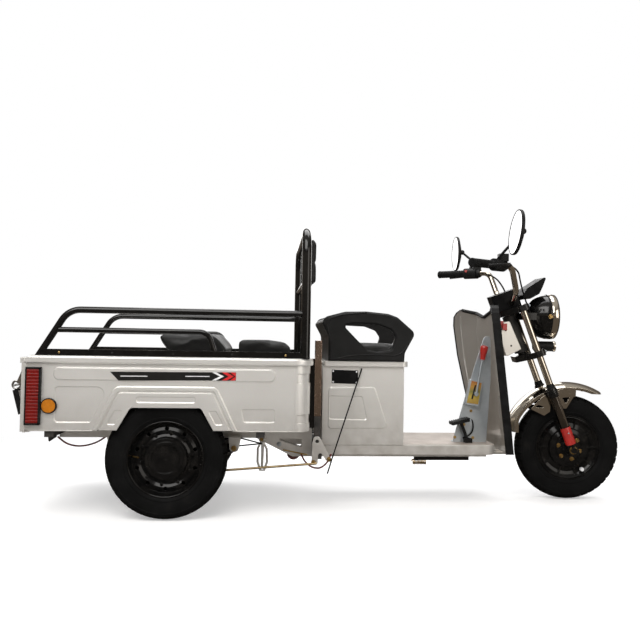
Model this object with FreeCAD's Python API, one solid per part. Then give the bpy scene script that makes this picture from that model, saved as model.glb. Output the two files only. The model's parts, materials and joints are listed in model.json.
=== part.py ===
"""Electric cargo tricycle: pressed cargo tub, seat box, footboard and a turned front fork.

Millimetres. +X is forward, +Y is the left side, +Z is up. The dimensions below are measured
from the ground under the rear axle; store() shifts every piece so that the origin lies under
the middle of the whole tricycle.
"""
import FreeCAD, Part
import math
import os

os.makedirs("parts", exist_ok=True)

# Overall layout
ORIGIN_X = 620.0           # the origin lies this far ahead of the rear axle
WHEELBASE = 1526.0
SEAT_GAP = 0.3             # between pieces that rest on or in each other

# Wheels
TYRE_R = 205.0
TYRE_W = 80.0
RIM_SEAT_R = 127.0
RIM_WALL = 4.0
RIM_SLOTS = 10
SLOT_R = 7.0
SLOT_CIRCLE_R = 101.0
AXLE_R = 15.0
AXLE_FIT = 0.5
FRONT_AXLE_R = AXLE_R - 4
AXLE_TUBE_R = 28.0
DRUM_R = 88.0

# Steering: the axis leans back and the parked fork is turned a little to the right
CASTER = 20.56
FORK_OFFSET = 40.0
REST_TURN = -4.45
SLIDER_R = 16.0
TUBE_R = 13.0
LEG_Y = TYRE_W / 2 + SLIDER_R + 20
LEG_U = 43.0
COLLAR_W = 253.0
COVER_LOW_W = 22.0
COVER_HIGH_W = 94.0
LOWER_CLAMP_W = 385.0
UPPER_CLAMP_W = 573.0
CLAMP_T = 24.0
HEAD_TOP_W = UPPER_CLAMP_W + CLAMP_T
HEAD_TUBE_R = 26.0
STEM_R = 15.0

# Cargo tub
TUB_REAR_X = -459.0
TUB_FRONT_X = 483.0
TUB_HALF_W = 350.0
TUB_BOTTOM_Z = 304.0
TUB_TOP_Z = 549.0
TUB_WALL = 6.0
TUB_CORNER_R = 55.0
TUB_JOIN_X = TUB_FRONT_X - TUB_CORNER_R
FLOOR_T = 4.0
FLOOR_LOW_Z = TUB_BOTTOM_Z - FLOOR_T
RIM_DEPTH = 25.0
RIM_PROUD = 10.0
RIM_WIDTH = 34.0
RIM_BEVEL = 18.0
TAIL_POST_W = 16.0
TAIL_POST_DROP = 8.0
CORNER_STRIP_W = 7.0
CORNER_STRIP_T = 4.0

# Wheel arches, with the pressed band around them and the well inside
WHEEL_GAP = 6.0
REAR_TRACK_HALF = TUB_HALF_W - TUB_WALL - WHEEL_GAP - TYRE_W / 2
WELL_WALL = 4.0
WELL_X = TYRE_R + 17
WELL_TOP_Z = 2 * TYRE_R + 36
WELL_INNER_Y = REAR_TRACK_HALF - TYRE_W / 2 - 12
ARCH_FOOT_X = TYRE_R - 41
ARCH_TOP_X = TYRE_R - 89
ARCH_TOP_Z = 2 * TYRE_R - 31
BAND_FOOT_X = TYRE_R + 32
BAND_TOP_X = TYRE_R - 38
BAND_TOP_Z = WELL_TOP_Z + WELL_WALL
BAND_CORNER_R = 30.0
RIDGE_W = 15.0
RIDGE_PROUD = 6.0
RIDGE_DRAFT = 3.0
FLANGE_INSET = 20.0
FLANGE_PROUD = 4.0
PANEL_DEPTH = 3.0          # of the pressed fields in the tub's skin
PANEL_DRAFT = 3.0

# Rails on the tub
RAIL_Y = TUB_HALF_W - 11
RAIL_R = 11.0
LOWER_RAIL_R = 9.0
TOP_RAIL_Z = TUB_TOP_Z + 152
LOWER_RAIL_Z = TUB_TOP_Z + 85
RAIL_REAR_X = TUB_REAR_X + 133
RAIL_FOOT_X = TUB_REAR_X + 41
LOWER_RAIL_BEND_X = 132.0
BASE_RAIL_H = 21.0
BASE_RAIL_W = 20.0
HOOP_X = TUB_FRONT_X - 21
HOOP_R = 16.0
HOOP_TOP_Z = TUB_TOP_Z + 443
HOOP_BAR_Z = HOOP_TOP_Z - 176
HOOP_BAR_R = 10.0
HOOP_BEND_R = 80.0
HOOP_STRAP_Y = 120.0
HOOP_STRAP_W = 24.0

# Cushions and passenger bench in the tub
BACK_CUSHION_HALF_W = 200.0
BACK_CUSHION_LOW_Z = HOOP_TOP_Z - 188
BACK_CUSHION_TOP_Z = HOOP_TOP_Z - 2
BACK_CUSHION_T = 26.0
BENCH_HALF_W = WELL_INNER_Y - 11
BENCH_LEG = 25.0
BENCH_LEG_Y = BENCH_HALF_W - 35
BENCH_FRAME_Z = TUB_TOP_Z + 7
BENCH_REAR_X = -62.0
BENCH_SPLIT_X = 214.0
BENCH_FRONT_X = HOOP_X - HOOP_R - 22
BENCH_PANEL_H = 72.0
BENCH_CUSHION_H = 54.0

# Springs and frame
SPRING_W = 44.0
SPRING_Y = REAR_TRACK_HALF - TYRE_W / 2 - 58
FRAME_RAIL_Y = SPRING_Y - 50
FRAME_RAIL_W = 40.0
FRAME_RAIL_H = 44.0
FRAME_RAIL_OUTER_Y = FRAME_RAIL_Y + FRAME_RAIL_W / 2
HIGH_RAIL_Z = FLOOR_LOW_Z - FRAME_RAIL_H
LOW_RAIL_Z = 190.0
KICK_REAR_X = TUB_FRONT_X - 185
KICK_FRONT_X = TUB_FRONT_X - 53
RAIL_STEP_X = TUB_FRONT_X + 17
FRAME_REAR_X = TUB_REAR_X + 67
LEAF_T = 7.0
EYE_R = 15.0
SPRING_EYE_Z = HIGH_RAIL_Z - 35
SPRING_SAG = SPRING_EYE_Z - (TYRE_R - 39)
SPRING_HALF = 206.0
SPRING_MID_X = 16.0
LEAF_HALF_LENGTHS = (SPRING_HALF, 165.0, 125.0, 85.0)

# Seat box, seat and footboard
FOOT_TOP_Z = 233.0
FOOT_SIDE_H = 35.0
FOOT_WALL = 3.0
FOOT_HALF_W = 178.0
FOOT_CORNER_R = 40.0
BOX_REAR_X = TUB_FRONT_X + 52
BOX_LENGTH = 300.0
BOX_FRONT_X = BOX_REAR_X + BOX_LENGTH
FOOT_REAR_X = BOX_REAR_X + 9
BOX_HALF_W = 180.0
BOX_TOP_Z = 519.0
BOX_WALL = 3.0
LID_T = 19.0
LID_LIP = 14.0
LID_LOW_Z = BOX_TOP_Z + SEAT_GAP
LID_TOP_Z = LID_LOW_Z + LID_T
SEAT_HALF_W = 200.0
SEAT_SIDE_T = 26.0
SEAT_HINGE_X = BOX_REAR_X - 4
SEAT_HINGE_Z = BOX_TOP_Z + 9
SEAT_HINGE_R = 5.0
SEAT_HINGE_Y = 90.0
BATTERY_H = 170.0
POST_X = TUB_FRONT_X + 32
POST_W = 23.0
POST_Y = 217.0
RIGHT_POST_TOP_Z = 610.0
LEFT_POST_TOP_Z = 530.0
BRACKET_T = 5.0
BRACKET_HOLE_R = 6.5
BRACKET_OUTER_Y = POST_Y + POST_W / 2 + BRACKET_T

# Tailgate hinge and latches
TAILGATE_T = 9.0
GATE_HINGE_X = TUB_REAR_X - 11
GATE_HINGE_Z = TUB_BOTTOM_Z - 8
GATE_HINGE_R = 6.0
GATE_HINGE_Y = 200.0
LATCH_Y = TUB_HALF_W - 42

# Brake linkage
BRAKE_ROD_R = 4.0
BRAKE_ROD_Y = BRACKET_OUTER_Y + BRAKE_ROD_R + SEAT_GAP
BRAKE_LEVER_X = 50.0
BRAKE_LEVER_Z = 143.0

# Leads and the thin stay
LEAD_R = 3.0
LEAD_REACH = 0.45          # share of the shorter run that an arc takes up
STAY_ROD_R = 2.5

# Leg shield and headstock
SHIELD_T = 4.0
TRIM_W = 29.0
TRIM_T = 7.0
TOP_TRIM_R = 7.0
BEAD_R = 4.0
BEAD_SHARE = 0.3           # of the way in from a wing's edge
RISER_FRONT_X = WHEELBASE - 243
RISER_TOP_X = WHEELBASE - 286
RISER_DEPTH = 46.0
RISER_HALF_W = 25.0
RISER_LOW_Z = 182.0
GUSSET_HALF_W = 30.0
FOOT_FRONT_X = RISER_FRONT_X - RISER_DEPTH - 49
FRAME_FRONT_X = FOOT_FRONT_X - 38

# Front end
FENDER_R = TYRE_R + 52
FENDER_SKIRT = 27.0
FENDER_SHOULDER = 16.0
FENDER_HALF_W = LEG_Y - SLIDER_R - 6
FENDER_T = 3.0
FENDER_TIP_ANGLE = 60.0
FENDER_TAIL_ANGLE = 150.0
FENDER_TAIL_BEND = 60.0
FENDER_TAIL_Z = TYRE_R + 28
STAY_T = 3.0
LAMP_U = 142.0
LAMP_W = UPPER_CLAMP_W - 60
LAMP_R = 88.0
LAMP_RING_L = 26.0
LAMP_RING_T = 9.0
BAR_R = 11.0
BAR_BEND_R = 40.0
GRIP_R = 15.0
GRIP_L = 125.0
MIRROR_R = 78.0
MIRROR_T = 20.0
MIRROR_Y = 420.0

SIN_C = math.sin(math.radians(CASTER))
COS_C = math.cos(math.radians(CASTER))
STEER_BASE = FreeCAD.Vector(WHEELBASE - FORK_OFFSET * COS_C, 0, TYRE_R - FORK_OFFSET * SIN_C)
STEER_AXIS = FreeCAD.Vector(-SIN_C, 0, COS_C)
X_AXIS = FreeCAD.Vector(1, 0, 0)
Y_AXIS = FreeCAD.Vector(0, 1, 0)
ZERO = FreeCAD.Vector(0, 0, 0)


def at(x, y, z):
    return FreeCAD.Vector(x, y, z)


def store(name, shape):
    """Write one piece, shifted to the shared origin."""
    moved = shape.copy()
    moved.translate(at(-ORIGIN_X, 0, 0))
    moved.exportStep("parts/" + name + ".step")


def steered(shape):
    """Turn a straight-ahead piece about the steering axis to where the fork is parked."""
    turned = shape.copy()
    turned.rotate(STEER_BASE, STEER_AXIS, REST_TURN)
    return turned


def in_fork(shape):
    """Lay a piece drawn in fork axes (u forward, y left, w up the steering axis) on the tricycle."""
    laid = shape.copy()
    laid.rotate(ZERO, Y_AXIS, -CASTER)
    laid.translate(STEER_BASE)
    return laid


def fork_point(u, y, w):
    return at(STEER_BASE.x + u * COS_C - w * SIN_C, y, STEER_BASE.z + u * SIN_C + w * COS_C)


RISER_TOP_Z = fork_point(0, 0, UPPER_CLAMP_W).z - 27


def mirrored(shape):
    return shape.mirror(ZERO, Y_AXIS)


def both_sides(shape):
    return Part.makeCompound([shape, mirrored(shape)])


def block(x0, x1, y0, y1, z0, z1):
    return Part.makeBox(x1 - x0, y1 - y0, z1 - z0, at(x0, y0, z0))


def side_block(sign, x0, x1, near, far, z0, z1):
    """Box between two distances from the middle, on the side that sign names."""
    low, high = sorted((sign * near, sign * far))
    return block(x0, x1, low, high, z0, z1)


def rod(start, end, radius):
    return Part.makeCylinder(radius, (end - start).Length, start, end - start)


def joined(shapes):
    """Fuse pieces into one clean solid."""
    return shapes[0].fuse(shapes[1:]).removeSplitter()


def rounded_wire(points, radii, closed):
    """Straight runs joined by tangent arcs, with one radius for each point."""
    count = len(points)
    starts = []
    ends = []
    arcs = []
    for index, corner in enumerate(points):
        radius = radii[index]
        loose_end = not closed and index in (0, count - 1)
        if loose_end or radius == 0:
            starts.append(corner)
            ends.append(corner)
            arcs.append(None)
            continue
        back = points[index - 1] - corner
        onward = points[(index + 1) % count] - corner
        back.normalize()
        onward.normalize()
        half = back.getAngle(onward) / 2
        reach = radius / math.tan(half)
        middle = back + onward
        middle.normalize()
        starts.append(corner + back * reach)
        ends.append(corner + onward * reach)
        arcs.append(corner + middle * (radius / math.sin(half) - radius))
    edges = []
    for index in range(count):
        if arcs[index] is not None:
            edges.append(Part.Arc(starts[index], arcs[index], ends[index]).toShape())
        follower = (index + 1) % count
        if follower == 0 and not closed:
            break
        if (starts[follower] - ends[index]).Length > 1e-6:
            edges.append(Part.LineSegment(ends[index], starts[follower]).toShape())
    return Part.Wire(edges)


def side_wire(corners, y):
    """Closed side-view outline of (x, z, corner radius) rows at one y."""
    return rounded_wire([at(x, y, z) for x, z, radius in corners], [row[2] for row in corners], True)


def side_slab(corners, y0, y1):
    """Extrude a side-view outline of (x, z, corner radius) rows from y0 to y1."""
    return Part.Face(side_wire(corners, y0)).extrude(at(0, y1 - y0, 0))


def plan_slab(corners, z0, z1):
    """Extrude a plan-view outline of (x, y, corner radius) rows from z0 to z1."""
    points = [at(x, y, z0) for x, y, radius in corners]
    wire = rounded_wire(points, [row[2] for row in corners], True)
    return Part.Face(wire).extrude(at(0, 0, z1 - z0))


def shifted(corners, x, z):
    """Rows of (x, z, corner radius) offsets, placed from x and z."""
    return [(x + dx, z + dz, radius) for dx, dz, radius in corners]


def inset_outline(corners, inset):
    """The same outline with every side moved inwards, or outwards for a negative inset."""
    count = len(corners)
    area = 0
    for index in range(count):
        x0, z0, r0 = corners[index - 1]
        x1, z1, r1 = corners[index]
        area += x0 * z1 - x1 * z0
    turn = math.copysign(1, area)
    rows = []
    for index in range(count):
        x, z, radius = corners[index]
        back_x = x - corners[index - 1][0]
        back_z = z - corners[index - 1][1]
        onward_x = corners[(index + 1) % count][0] - x
        onward_z = corners[(index + 1) % count][1] - z
        back_l = math.hypot(back_x, back_z)
        onward_l = math.hypot(onward_x, onward_z)
        normal_x = (-back_z / back_l - onward_z / onward_l) * turn
        normal_z = (back_x / back_l + onward_x / onward_l) * turn
        scale = 2 * inset / (normal_x ** 2 + normal_z ** 2)
        new_radius = 0 if radius == 0 else max(radius - inset, 2)
        rows.append((x + normal_x * scale, z + normal_z * scale, new_radius))
    return rows


def drafted(rows0, y0, rows1, y1):
    """Loft between two side-view outlines that have the same corners."""
    return Part.makeLoft([side_wire(rows0, y0), side_wire(rows1, y1)], True, True)


def raised_field(corners, face_y, height):
    """Pressed field with sloping edges that stands out from the skin at face_y."""
    return drafted(corners, face_y, inset_outline(corners, PANEL_DRAFT), face_y + height)


def sunk_field(corners, face_y, depth):
    """Cutter for a pressed field with sloping edges below the skin at face_y."""
    return drafted(inset_outline(corners, -1), face_y + 1,
                   inset_outline(corners, PANEL_DRAFT), face_y - depth)


def bent_bar(points, radii, radius):
    """Round bar along straight runs and tangent arcs."""
    path = rounded_wire(points, radii, False)
    start = points[0]
    circle = Part.makeCircle(radius, start, points[1] - start)
    return path.makePipeShell([Part.Wire([circle])], True, False)


def turned_ring(profile, centre):
    """Revolve (radius, y) rows about the wheel axis through centre."""
    points = [at(centre.x + r, centre.y + y, centre.z) for r, y in profile]
    wire = Part.makePolygon(points + [points[0]])
    return Part.Face(wire).revolve(centre, Y_AXIS, 360)


def tyre(centre):
    """Rounded tread and bulged sidewalls around the bead seat."""
    half = TYRE_W / 2
    bead = RIM_SEAT_R + SEAT_GAP
    shoulder_r = TYRE_R - 12
    shoulder_y = half - 5
    bulge_r = (bead + shoulder_r) / 2 + 6

    def spot(r, y):
        return at(centre.x + r, centre.y + y, centre.z)

    edges = [
        Part.LineSegment(spot(bead, half - 9), spot(bead, 9 - half)).toShape(),
        Part.Arc(spot(bead, 9 - half), spot(bulge_r, -half), spot(shoulder_r, -shoulder_y)).toShape(),
        Part.Arc(spot(shoulder_r, -shoulder_y), spot(TYRE_R, 0), spot(shoulder_r, shoulder_y)).toShape(),
        Part.Arc(spot(shoulder_r, shoulder_y), spot(bulge_r, half), spot(bead, half - 9)).toShape(),
    ]
    return Part.Face(Part.Wire(edges)).revolve(centre, Y_AXIS, 360)


def around_wheel(centre, radius, count):
    """Points on a circle in the wheel's plane."""
    turns = [2 * math.pi * (index + 0.5) / count for index in range(count)]
    return [centre + at(radius * math.cos(turn), 0, radius * math.sin(turn)) for turn in turns]


def vent_cutters(centre):
    """Round openings through the wheel disc."""
    half = at(0, TYRE_W / 2, 0)
    spots = around_wheel(centre, SLOT_CIRCLE_R, RIM_SLOTS)
    return [rod(spot - half, spot + half, SLOT_R) for spot in spots]


def disc_rim(centre, outboard):
    """Vented steel disc wheel with a hub drum; outboard is -1 or 1 for the side its cap faces."""
    seat = RIM_SEAT_R
    half = TYRE_W / 2
    bore = AXLE_R + AXLE_FIT
    # Profile rows: radius and distance outboard of the wheel's mid-plane
    profile = [
        (bore, -half), (70, -half), (74, -half + 6), (74, -6), (84, -2),
        (96, 6), (108, 2), (seat - 16, -10), (seat - RIM_WALL, -half + 12), (seat - RIM_WALL, 8 - half),
        (seat, 8 - half), (seat, half - 8), (seat - RIM_WALL, half - 8), (seat - RIM_WALL, half - 14),
        (seat - 12, 8), (106, 12), (96, 16), (82, 8), (74, 12), (71, 24), (69, 27), (59, 27), (57, 31),
        (49, 31), (46, 27), (0, 29), (0, 8), (bore, 8),
    ]
    rim = turned_ring([(r, outboard * y) for r, y in profile], centre)
    return rim.cut(vent_cutters(centre))


def build_rear_wheels():
    for side, sign in (("right", -1), ("left", 1)):
        centre = at(0, sign * REAR_TRACK_HALF, TYRE_R)
        store("rear_" + side + "_tyre", tyre(centre))
        store("rear_" + side + "_rim", disc_rim(centre, sign))


def build_drive_axle():
    """Axle tube with spindles, brake back plates, differential and motor in one casting."""
    hub_inner_y = REAR_TRACK_HALF - TYRE_W / 2
    tube_end_y = hub_inner_y - 6
    centre = at(0, 0, TYRE_R)
    pieces = [
        rod(at(0, -tube_end_y, TYRE_R), at(0, tube_end_y, TYRE_R), AXLE_TUBE_R),
        rod(at(0, -70, TYRE_R), at(0, 70, TYRE_R), 72),
        rod(at(95, -20, TYRE_R + 8), at(95, 110, TYRE_R + 8), 62),
        block(0, 95, -20, 70, TYRE_R - 45, TYRE_R + 60),
    ]
    for sign in (-1, 1):
        plate_start = centre + at(0, sign * (tube_end_y - 10), 0)
        pieces.append(rod(plate_start, centre + at(0, sign * tube_end_y, 0), DRUM_R))
        spindle_end = sign * (hub_inner_y + TYRE_W / 2 + 2)
        spindle_start = sign * (tube_end_y - 20)
        pieces.append(rod(centre + at(0, spindle_start, 0), centre + at(0, spindle_end, 0), AXLE_R))
        pieces.append(side_block(sign, BRAKE_LEVER_X - 20, BRAKE_LEVER_X, BRAKE_ROD_Y - BRAKE_ROD_R,
                                 tube_end_y - 4, BRAKE_LEVER_Z - 10, TYRE_R))
    store("drive_axle", joined(pieces))


def spring_radius():
    return (SPRING_HALF ** 2 + SPRING_SAG ** 2) / (2 * SPRING_SAG)


def spring_pin(x):
    """Cross pin through a spring eye and the plates on both of its sides."""
    inner_y = SPRING_Y - SPRING_W / 2
    z = SPRING_EYE_Z + LEAF_T
    return rod(at(x, inner_y - 12, z), at(x, inner_y + SPRING_W + 12, z), 7)


def build_leaf_springs():
    """Underslung semi-elliptic springs with eyes and axle clamps."""
    radius = spring_radius()
    inner_y = SPRING_Y - SPRING_W / 2
    outer_y = inner_y + SPRING_W
    centre = at(SPRING_MID_X, inner_y, SPRING_EYE_Z - SPRING_SAG + radius)
    pieces = []
    for number, half_length in enumerate(LEAF_HALF_LENGTHS):
        outer = Part.makeCylinder(radius + (number + 1) * LEAF_T, SPRING_W, centre, Y_AXIS)
        inner = Part.makeCylinder(radius + number * LEAF_T, SPRING_W, centre, Y_AXIS)
        window = block(SPRING_MID_X - half_length, SPRING_MID_X + half_length, inner_y, outer_y,
                       0, SPRING_EYE_Z + LEAF_T)
        pieces.append(outer.cut(inner).common(window))
    for eye_x in (SPRING_MID_X + SPRING_HALF, SPRING_MID_X - SPRING_HALF):
        eye = at(eye_x, inner_y, SPRING_EYE_Z + LEAF_T)
        pieces.append(Part.makeCylinder(EYE_R, SPRING_W, eye, Y_AXIS))
    clamp_low_z = SPRING_EYE_Z - SPRING_SAG - 4 * LEAF_T - 8
    pieces.append(block(-45, 45, inner_y, outer_y, clamp_low_z, TYRE_R - 20))
    spring = joined(pieces)
    axle_space = rod(at(0, 0, TYRE_R), at(0, SPRING_Y + SPRING_W, TYRE_R), AXLE_TUBE_R)
    pins = [spring_pin(SPRING_MID_X + SPRING_HALF), spring_pin(SPRING_MID_X - SPRING_HALF)]
    store("leaf_springs", both_sides(spring.cut([axle_space] + pins)))


def build_spring_hangers():
    """Fixed front hangers and rear shackles that tie the spring eyes to the frame rails."""
    inner_y = SPRING_Y - SPRING_W / 2
    outer_y = inner_y + SPRING_W
    front_x = SPRING_MID_X + SPRING_HALF
    rear_x = SPRING_MID_X - SPRING_HALF
    hanger = side_slab([(front_x - 20, HIGH_RAIL_Z + 10, 0), (front_x + 24, HIGH_RAIL_Z + 10, 0),
                        (front_x + 14, SPRING_EYE_Z - 6, 12), (front_x - 14, SPRING_EYE_Z - 6, 12)],
                       inner_y - 6, outer_y + 6)
    shackle = side_slab([(rear_x + 14, SPRING_EYE_Z - 6, 12), (rear_x + 14, HIGH_RAIL_Z + 10, 0),
                         (rear_x - 26, HIGH_RAIL_Z + 10, 0), (rear_x - 14, SPRING_EYE_Z - 6, 12)],
                        inner_y - 6, outer_y + 6)
    slot = block(rear_x - 40, front_x + 40, inner_y - SEAT_GAP, outer_y + SEAT_GAP, 0, HIGH_RAIL_Z)
    rail = block(rear_x - 60, front_x + 60, 0, FRAME_RAIL_OUTER_Y, HIGH_RAIL_Z, FLOOR_LOW_Z)
    pieces = []
    for plates, pin_x in ((hanger, front_x), (shackle, rear_x)):
        pieces.append(joined([plates.cut([slot, rail]), spring_pin(pin_x)]))
    store("spring_hangers", both_sides(Part.makeCompound(pieces)))


def rail_side_profile():
    """High part under the tub, kicked down to the low part under the footboard."""
    low_top_z = FOOT_TOP_Z - FOOT_WALL
    return [
        (FRAME_REAR_X, HIGH_RAIL_Z, 0), (KICK_REAR_X, HIGH_RAIL_Z, 12), (KICK_FRONT_X, LOW_RAIL_Z, 12),
        (FRAME_FRONT_X, LOW_RAIL_Z, 0), (FRAME_FRONT_X, low_top_z, 0), (RAIL_STEP_X, low_top_z, 6),
        (RAIL_STEP_X, FLOOR_LOW_Z, 14), (FRAME_REAR_X, FLOOR_LOW_Z, 0),
    ]


def frame_rail():
    """Left rail, with the three-cornered window where it drops to the footboard."""
    inner = FRAME_RAIL_Y - FRAME_RAIL_W / 2
    outer = FRAME_RAIL_OUTER_Y
    rail = side_slab(rail_side_profile(), inner, outer)
    window = side_slab([(KICK_REAR_X + 68, HIGH_RAIL_Z - 2, 3), (RAIL_STEP_X - 37, HIGH_RAIL_Z - 2, 5),
                        (RAIL_STEP_X - 37, HIGH_RAIL_Z - 34, 5)], inner - 1, outer + 1)
    return rail.cut(window)


def build_frame():
    store("frame_rails", both_sides(frame_rail()))
    inner = FRAME_RAIL_Y - FRAME_RAIL_W / 2
    outer = FRAME_RAIL_OUTER_Y
    low_top_z = FOOT_TOP_Z - FOOT_WALL
    post_rear_x = POST_X - POST_W / 2 - 6
    post_front_x = POST_X + POST_W / 2 + 6
    # Cross members between the rails: rear x, front x, low z, top z
    members = [
        (FRAME_REAR_X, FRAME_REAR_X + 30, HIGH_RAIL_Z, FLOOR_LOW_Z),
        (-200, -170, FLOOR_LOW_Z - 26, FLOOR_LOW_Z),
        (170, 200, FLOOR_LOW_Z - 26, FLOOR_LOW_Z),
        (320, 350, FLOOR_LOW_Z - 26, FLOOR_LOW_Z),
        (post_rear_x + 4, post_front_x, LOW_RAIL_Z, low_top_z),
        (700, 730, LOW_RAIL_Z, low_top_z),
        (940, 970, LOW_RAIL_Z, low_top_z),
        (FRAME_FRONT_X - 40, FRAME_FRONT_X, LOW_RAIL_Z, low_top_z),
    ]
    pieces = [block(rear_x, front_x, -inner, inner, low, top) for rear_x, front_x, low, top in members]
    for sign in (-1, 1):
        pieces.append(side_block(sign, post_rear_x + 4, post_front_x, outer, POST_Y + POST_W / 2,
                                 LOW_RAIL_Z, LOW_RAIL_Z + FRAME_RAIL_H))
        # Bearers that carry each side of the tub outside the rails
        for bearer_x in (FRAME_REAR_X, 300):
            pieces.append(side_block(sign, bearer_x, bearer_x + 30, outer, TUB_HALF_W - TUB_WALL,
                                     FLOOR_LOW_Z - 20, FLOOR_LOW_Z))
        # Fixed half of the tailgate hinge on a strap under the floor
        near = GATE_HINGE_Y + 22
        far = near + 20
        strap = side_block(sign, GATE_HINGE_X, FRAME_REAR_X, near, far, FLOOR_LOW_Z - 8, FLOOR_LOW_Z)
        knuckle = rod(at(GATE_HINGE_X, sign * near, GATE_HINGE_Z), at(GATE_HINGE_X, sign * far, GATE_HINGE_Z),
                      GATE_HINGE_R)
        pieces.append(joined([strap, knuckle]))
        # Perforated plate that hangs from the tail of the floor
        plate = side_slab([(TUB_REAR_X + 32, FLOOR_LOW_Z, 0), (TUB_REAR_X + 66, FLOOR_LOW_Z, 0),
                           (TUB_REAR_X + 66, HIGH_RAIL_Z + 5, 0), (TUB_REAR_X + 40, HIGH_RAIL_Z - 13, 3)],
                          sign * 199, sign * 203)
        pieces.append(plate)
    store("frame_cross_members", Part.makeCompound(pieces))


def tub_ring(grow, depth, z0, z1, rear_x, front_x):
    """Plan-view band around the front and sides of the tub, open at the tail."""
    outer_y = TUB_HALF_W + grow
    corner = TUB_CORNER_R + grow
    outer = plan_slab([(rear_x, -outer_y, 0), (front_x, -outer_y, corner), (front_x, outer_y, corner),
                       (rear_x, outer_y, 0)], z0, z1)
    inner_y = outer_y - depth
    inner = plan_slab([(rear_x - 10, -inner_y, 0), (front_x - depth, -inner_y, corner - depth),
                       (front_x - depth, inner_y, corner - depth), (rear_x - 10, inner_y, 0)],
                      z0 - 1, z1 + 1)
    return outer.cut(inner)


def tub_rim():
    """Rolled rim swept along the sides and round the front, bevelled at the tail."""
    inner_y = TUB_HALF_W + RIM_PROUD - RIM_WIDTH
    outer_y = TUB_HALF_W + RIM_PROUD
    front_x = TUB_FRONT_X + RIM_PROUD
    low = TUB_TOP_Z - RIM_DEPTH
    radius = TUB_CORNER_R + RIM_PROUD - RIM_WIDTH
    path = rounded_wire([at(TUB_REAR_X, inner_y, low), at(front_x - RIM_WIDTH, inner_y, low),
                         at(front_x - RIM_WIDTH, -inner_y, low), at(TUB_REAR_X, -inner_y, low)],
                        [0, radius, radius, 0], False)
    section = rounded_wire([at(TUB_REAR_X, inner_y, low), at(TUB_REAR_X, outer_y, low),
                            at(TUB_REAR_X, outer_y, TUB_TOP_Z), at(TUB_REAR_X, inner_y, TUB_TOP_Z)],
                           [0, 5, 9, 3], True)
    rim = path.makePipeShell([section], True, False)
    margin = 5
    bevel = side_slab([(TUB_REAR_X - margin, TUB_TOP_Z - RIM_BEVEL - margin, 0),
                       (TUB_REAR_X + RIM_BEVEL + margin, TUB_TOP_Z + margin, 0),
                       (TUB_REAR_X - margin, TUB_TOP_Z + margin, 0)], -outer_y - 1, outer_y + 1)
    return rim.cut(bevel)


def arch_corners():
    foot_z = TUB_BOTTOM_Z - 10
    return [(-ARCH_FOOT_X, foot_z, 0), (-ARCH_TOP_X, ARCH_TOP_Z, 14), (ARCH_TOP_X, ARCH_TOP_Z, 14),
            (ARCH_FOOT_X, foot_z, 0)]


def band_edge_x(z, inset):
    """Half-length of the arch band at one height, drawn in by inset square to its edge."""
    slope = (BAND_FOOT_X - BAND_TOP_X) / (BAND_TOP_Z - TUB_BOTTOM_Z)
    return BAND_FOOT_X - slope * (z - TUB_BOTTOM_Z) - inset * math.hypot(1, slope)


def band_outline(inset, low_z):
    top_z = BAND_TOP_Z - inset
    radius = max(BAND_CORNER_R - inset, 8)
    foot_x = band_edge_x(low_z, inset)
    top_x = band_edge_x(top_z, inset)
    return [(-foot_x, low_z, 0), (-top_x, top_z, radius), (top_x, top_z, radius), (foot_x, low_z, 0)]


def arch_band():
    """Raised ridge, a groove inside it, and the flatter flange that borders the opening."""
    face = TUB_HALF_W
    low = TUB_BOTTOM_Z
    ridge = drafted(band_outline(0, low), face, band_outline(RIDGE_DRAFT, low), face + RIDGE_PROUD)
    hollow = drafted(band_outline(RIDGE_W + 1, low - 2), face - 1,
                     band_outline(RIDGE_W - RIDGE_DRAFT, low - 2), face + RIDGE_PROUD + 1)
    flange = drafted(band_outline(FLANGE_INSET, low), face,
                     band_outline(FLANGE_INSET + 2, low), face + FLANGE_PROUD)
    return [ridge.cut(hollow), flange]


def flange_fields():
    """Sunk fields in the flange: one over the opening and one down each leg."""
    face = TUB_HALF_W + FLANGE_PROUD
    top_low_z = ARCH_TOP_Z + 16
    top_high_z = ARCH_TOP_Z + 38
    reach = ARCH_TOP_X - 18
    over = [(-reach, top_low_z, 8), (-reach, top_high_z, 8), (reach, top_high_z, 8), (reach, top_low_z, 8)]
    leg_low_z = TUB_BOTTOM_Z + 18
    leg_high_z = ARCH_TOP_Z - 8
    near = ARCH_TOP_X + 21
    lean = 27
    far = near + 30
    leg = [(near, leg_high_z, 6), (far, leg_high_z, 6), (far + lean, leg_low_z, 6), (near + lean, leg_low_z, 6)]
    other = [(-x, z, radius) for x, z, radius in leg]
    return [sunk_field(corners, face, 2) for corners in (over, leg, other)]


def side_fields():
    """Pressed fields of a tub side: the raised strip under the rim and two sunk ones below."""
    strip = [(TUB_REAR_X + 93, TUB_TOP_Z - 81, 18), (TUB_REAR_X + 93, TUB_TOP_Z - 38, 18),
             (TUB_JOIN_X - 66, TUB_TOP_Z - 38, 18), (TUB_JOIN_X - 66, TUB_TOP_Z - 81, 18)]
    high = TUB_BOTTOM_Z + 144
    low = TUB_BOTTOM_Z + 24
    rear = [(TUB_REAR_X + 97, low, 14), (TUB_REAR_X + 97, high, 12), (-band_edge_x(high, -16), high, 26),
            (-band_edge_x(low, -16), low, 14)]
    front_high = TUB_BOTTOM_Z + 73
    front_low = TUB_BOTTOM_Z + 27
    front = [(band_edge_x(front_low, -30), front_low, 8), (band_edge_x(front_high, -40), front_high, 8),
             (TUB_JOIN_X - 65, front_high, 8), (TUB_JOIN_X - 65, front_low, 8)]
    return raised_field(strip, TUB_HALF_W, PANEL_DEPTH + 1), [sunk_field(rear, TUB_HALF_W, PANEL_DEPTH),
                                                              sunk_field(front, TUB_HALF_W, PANEL_DEPTH)]


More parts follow.
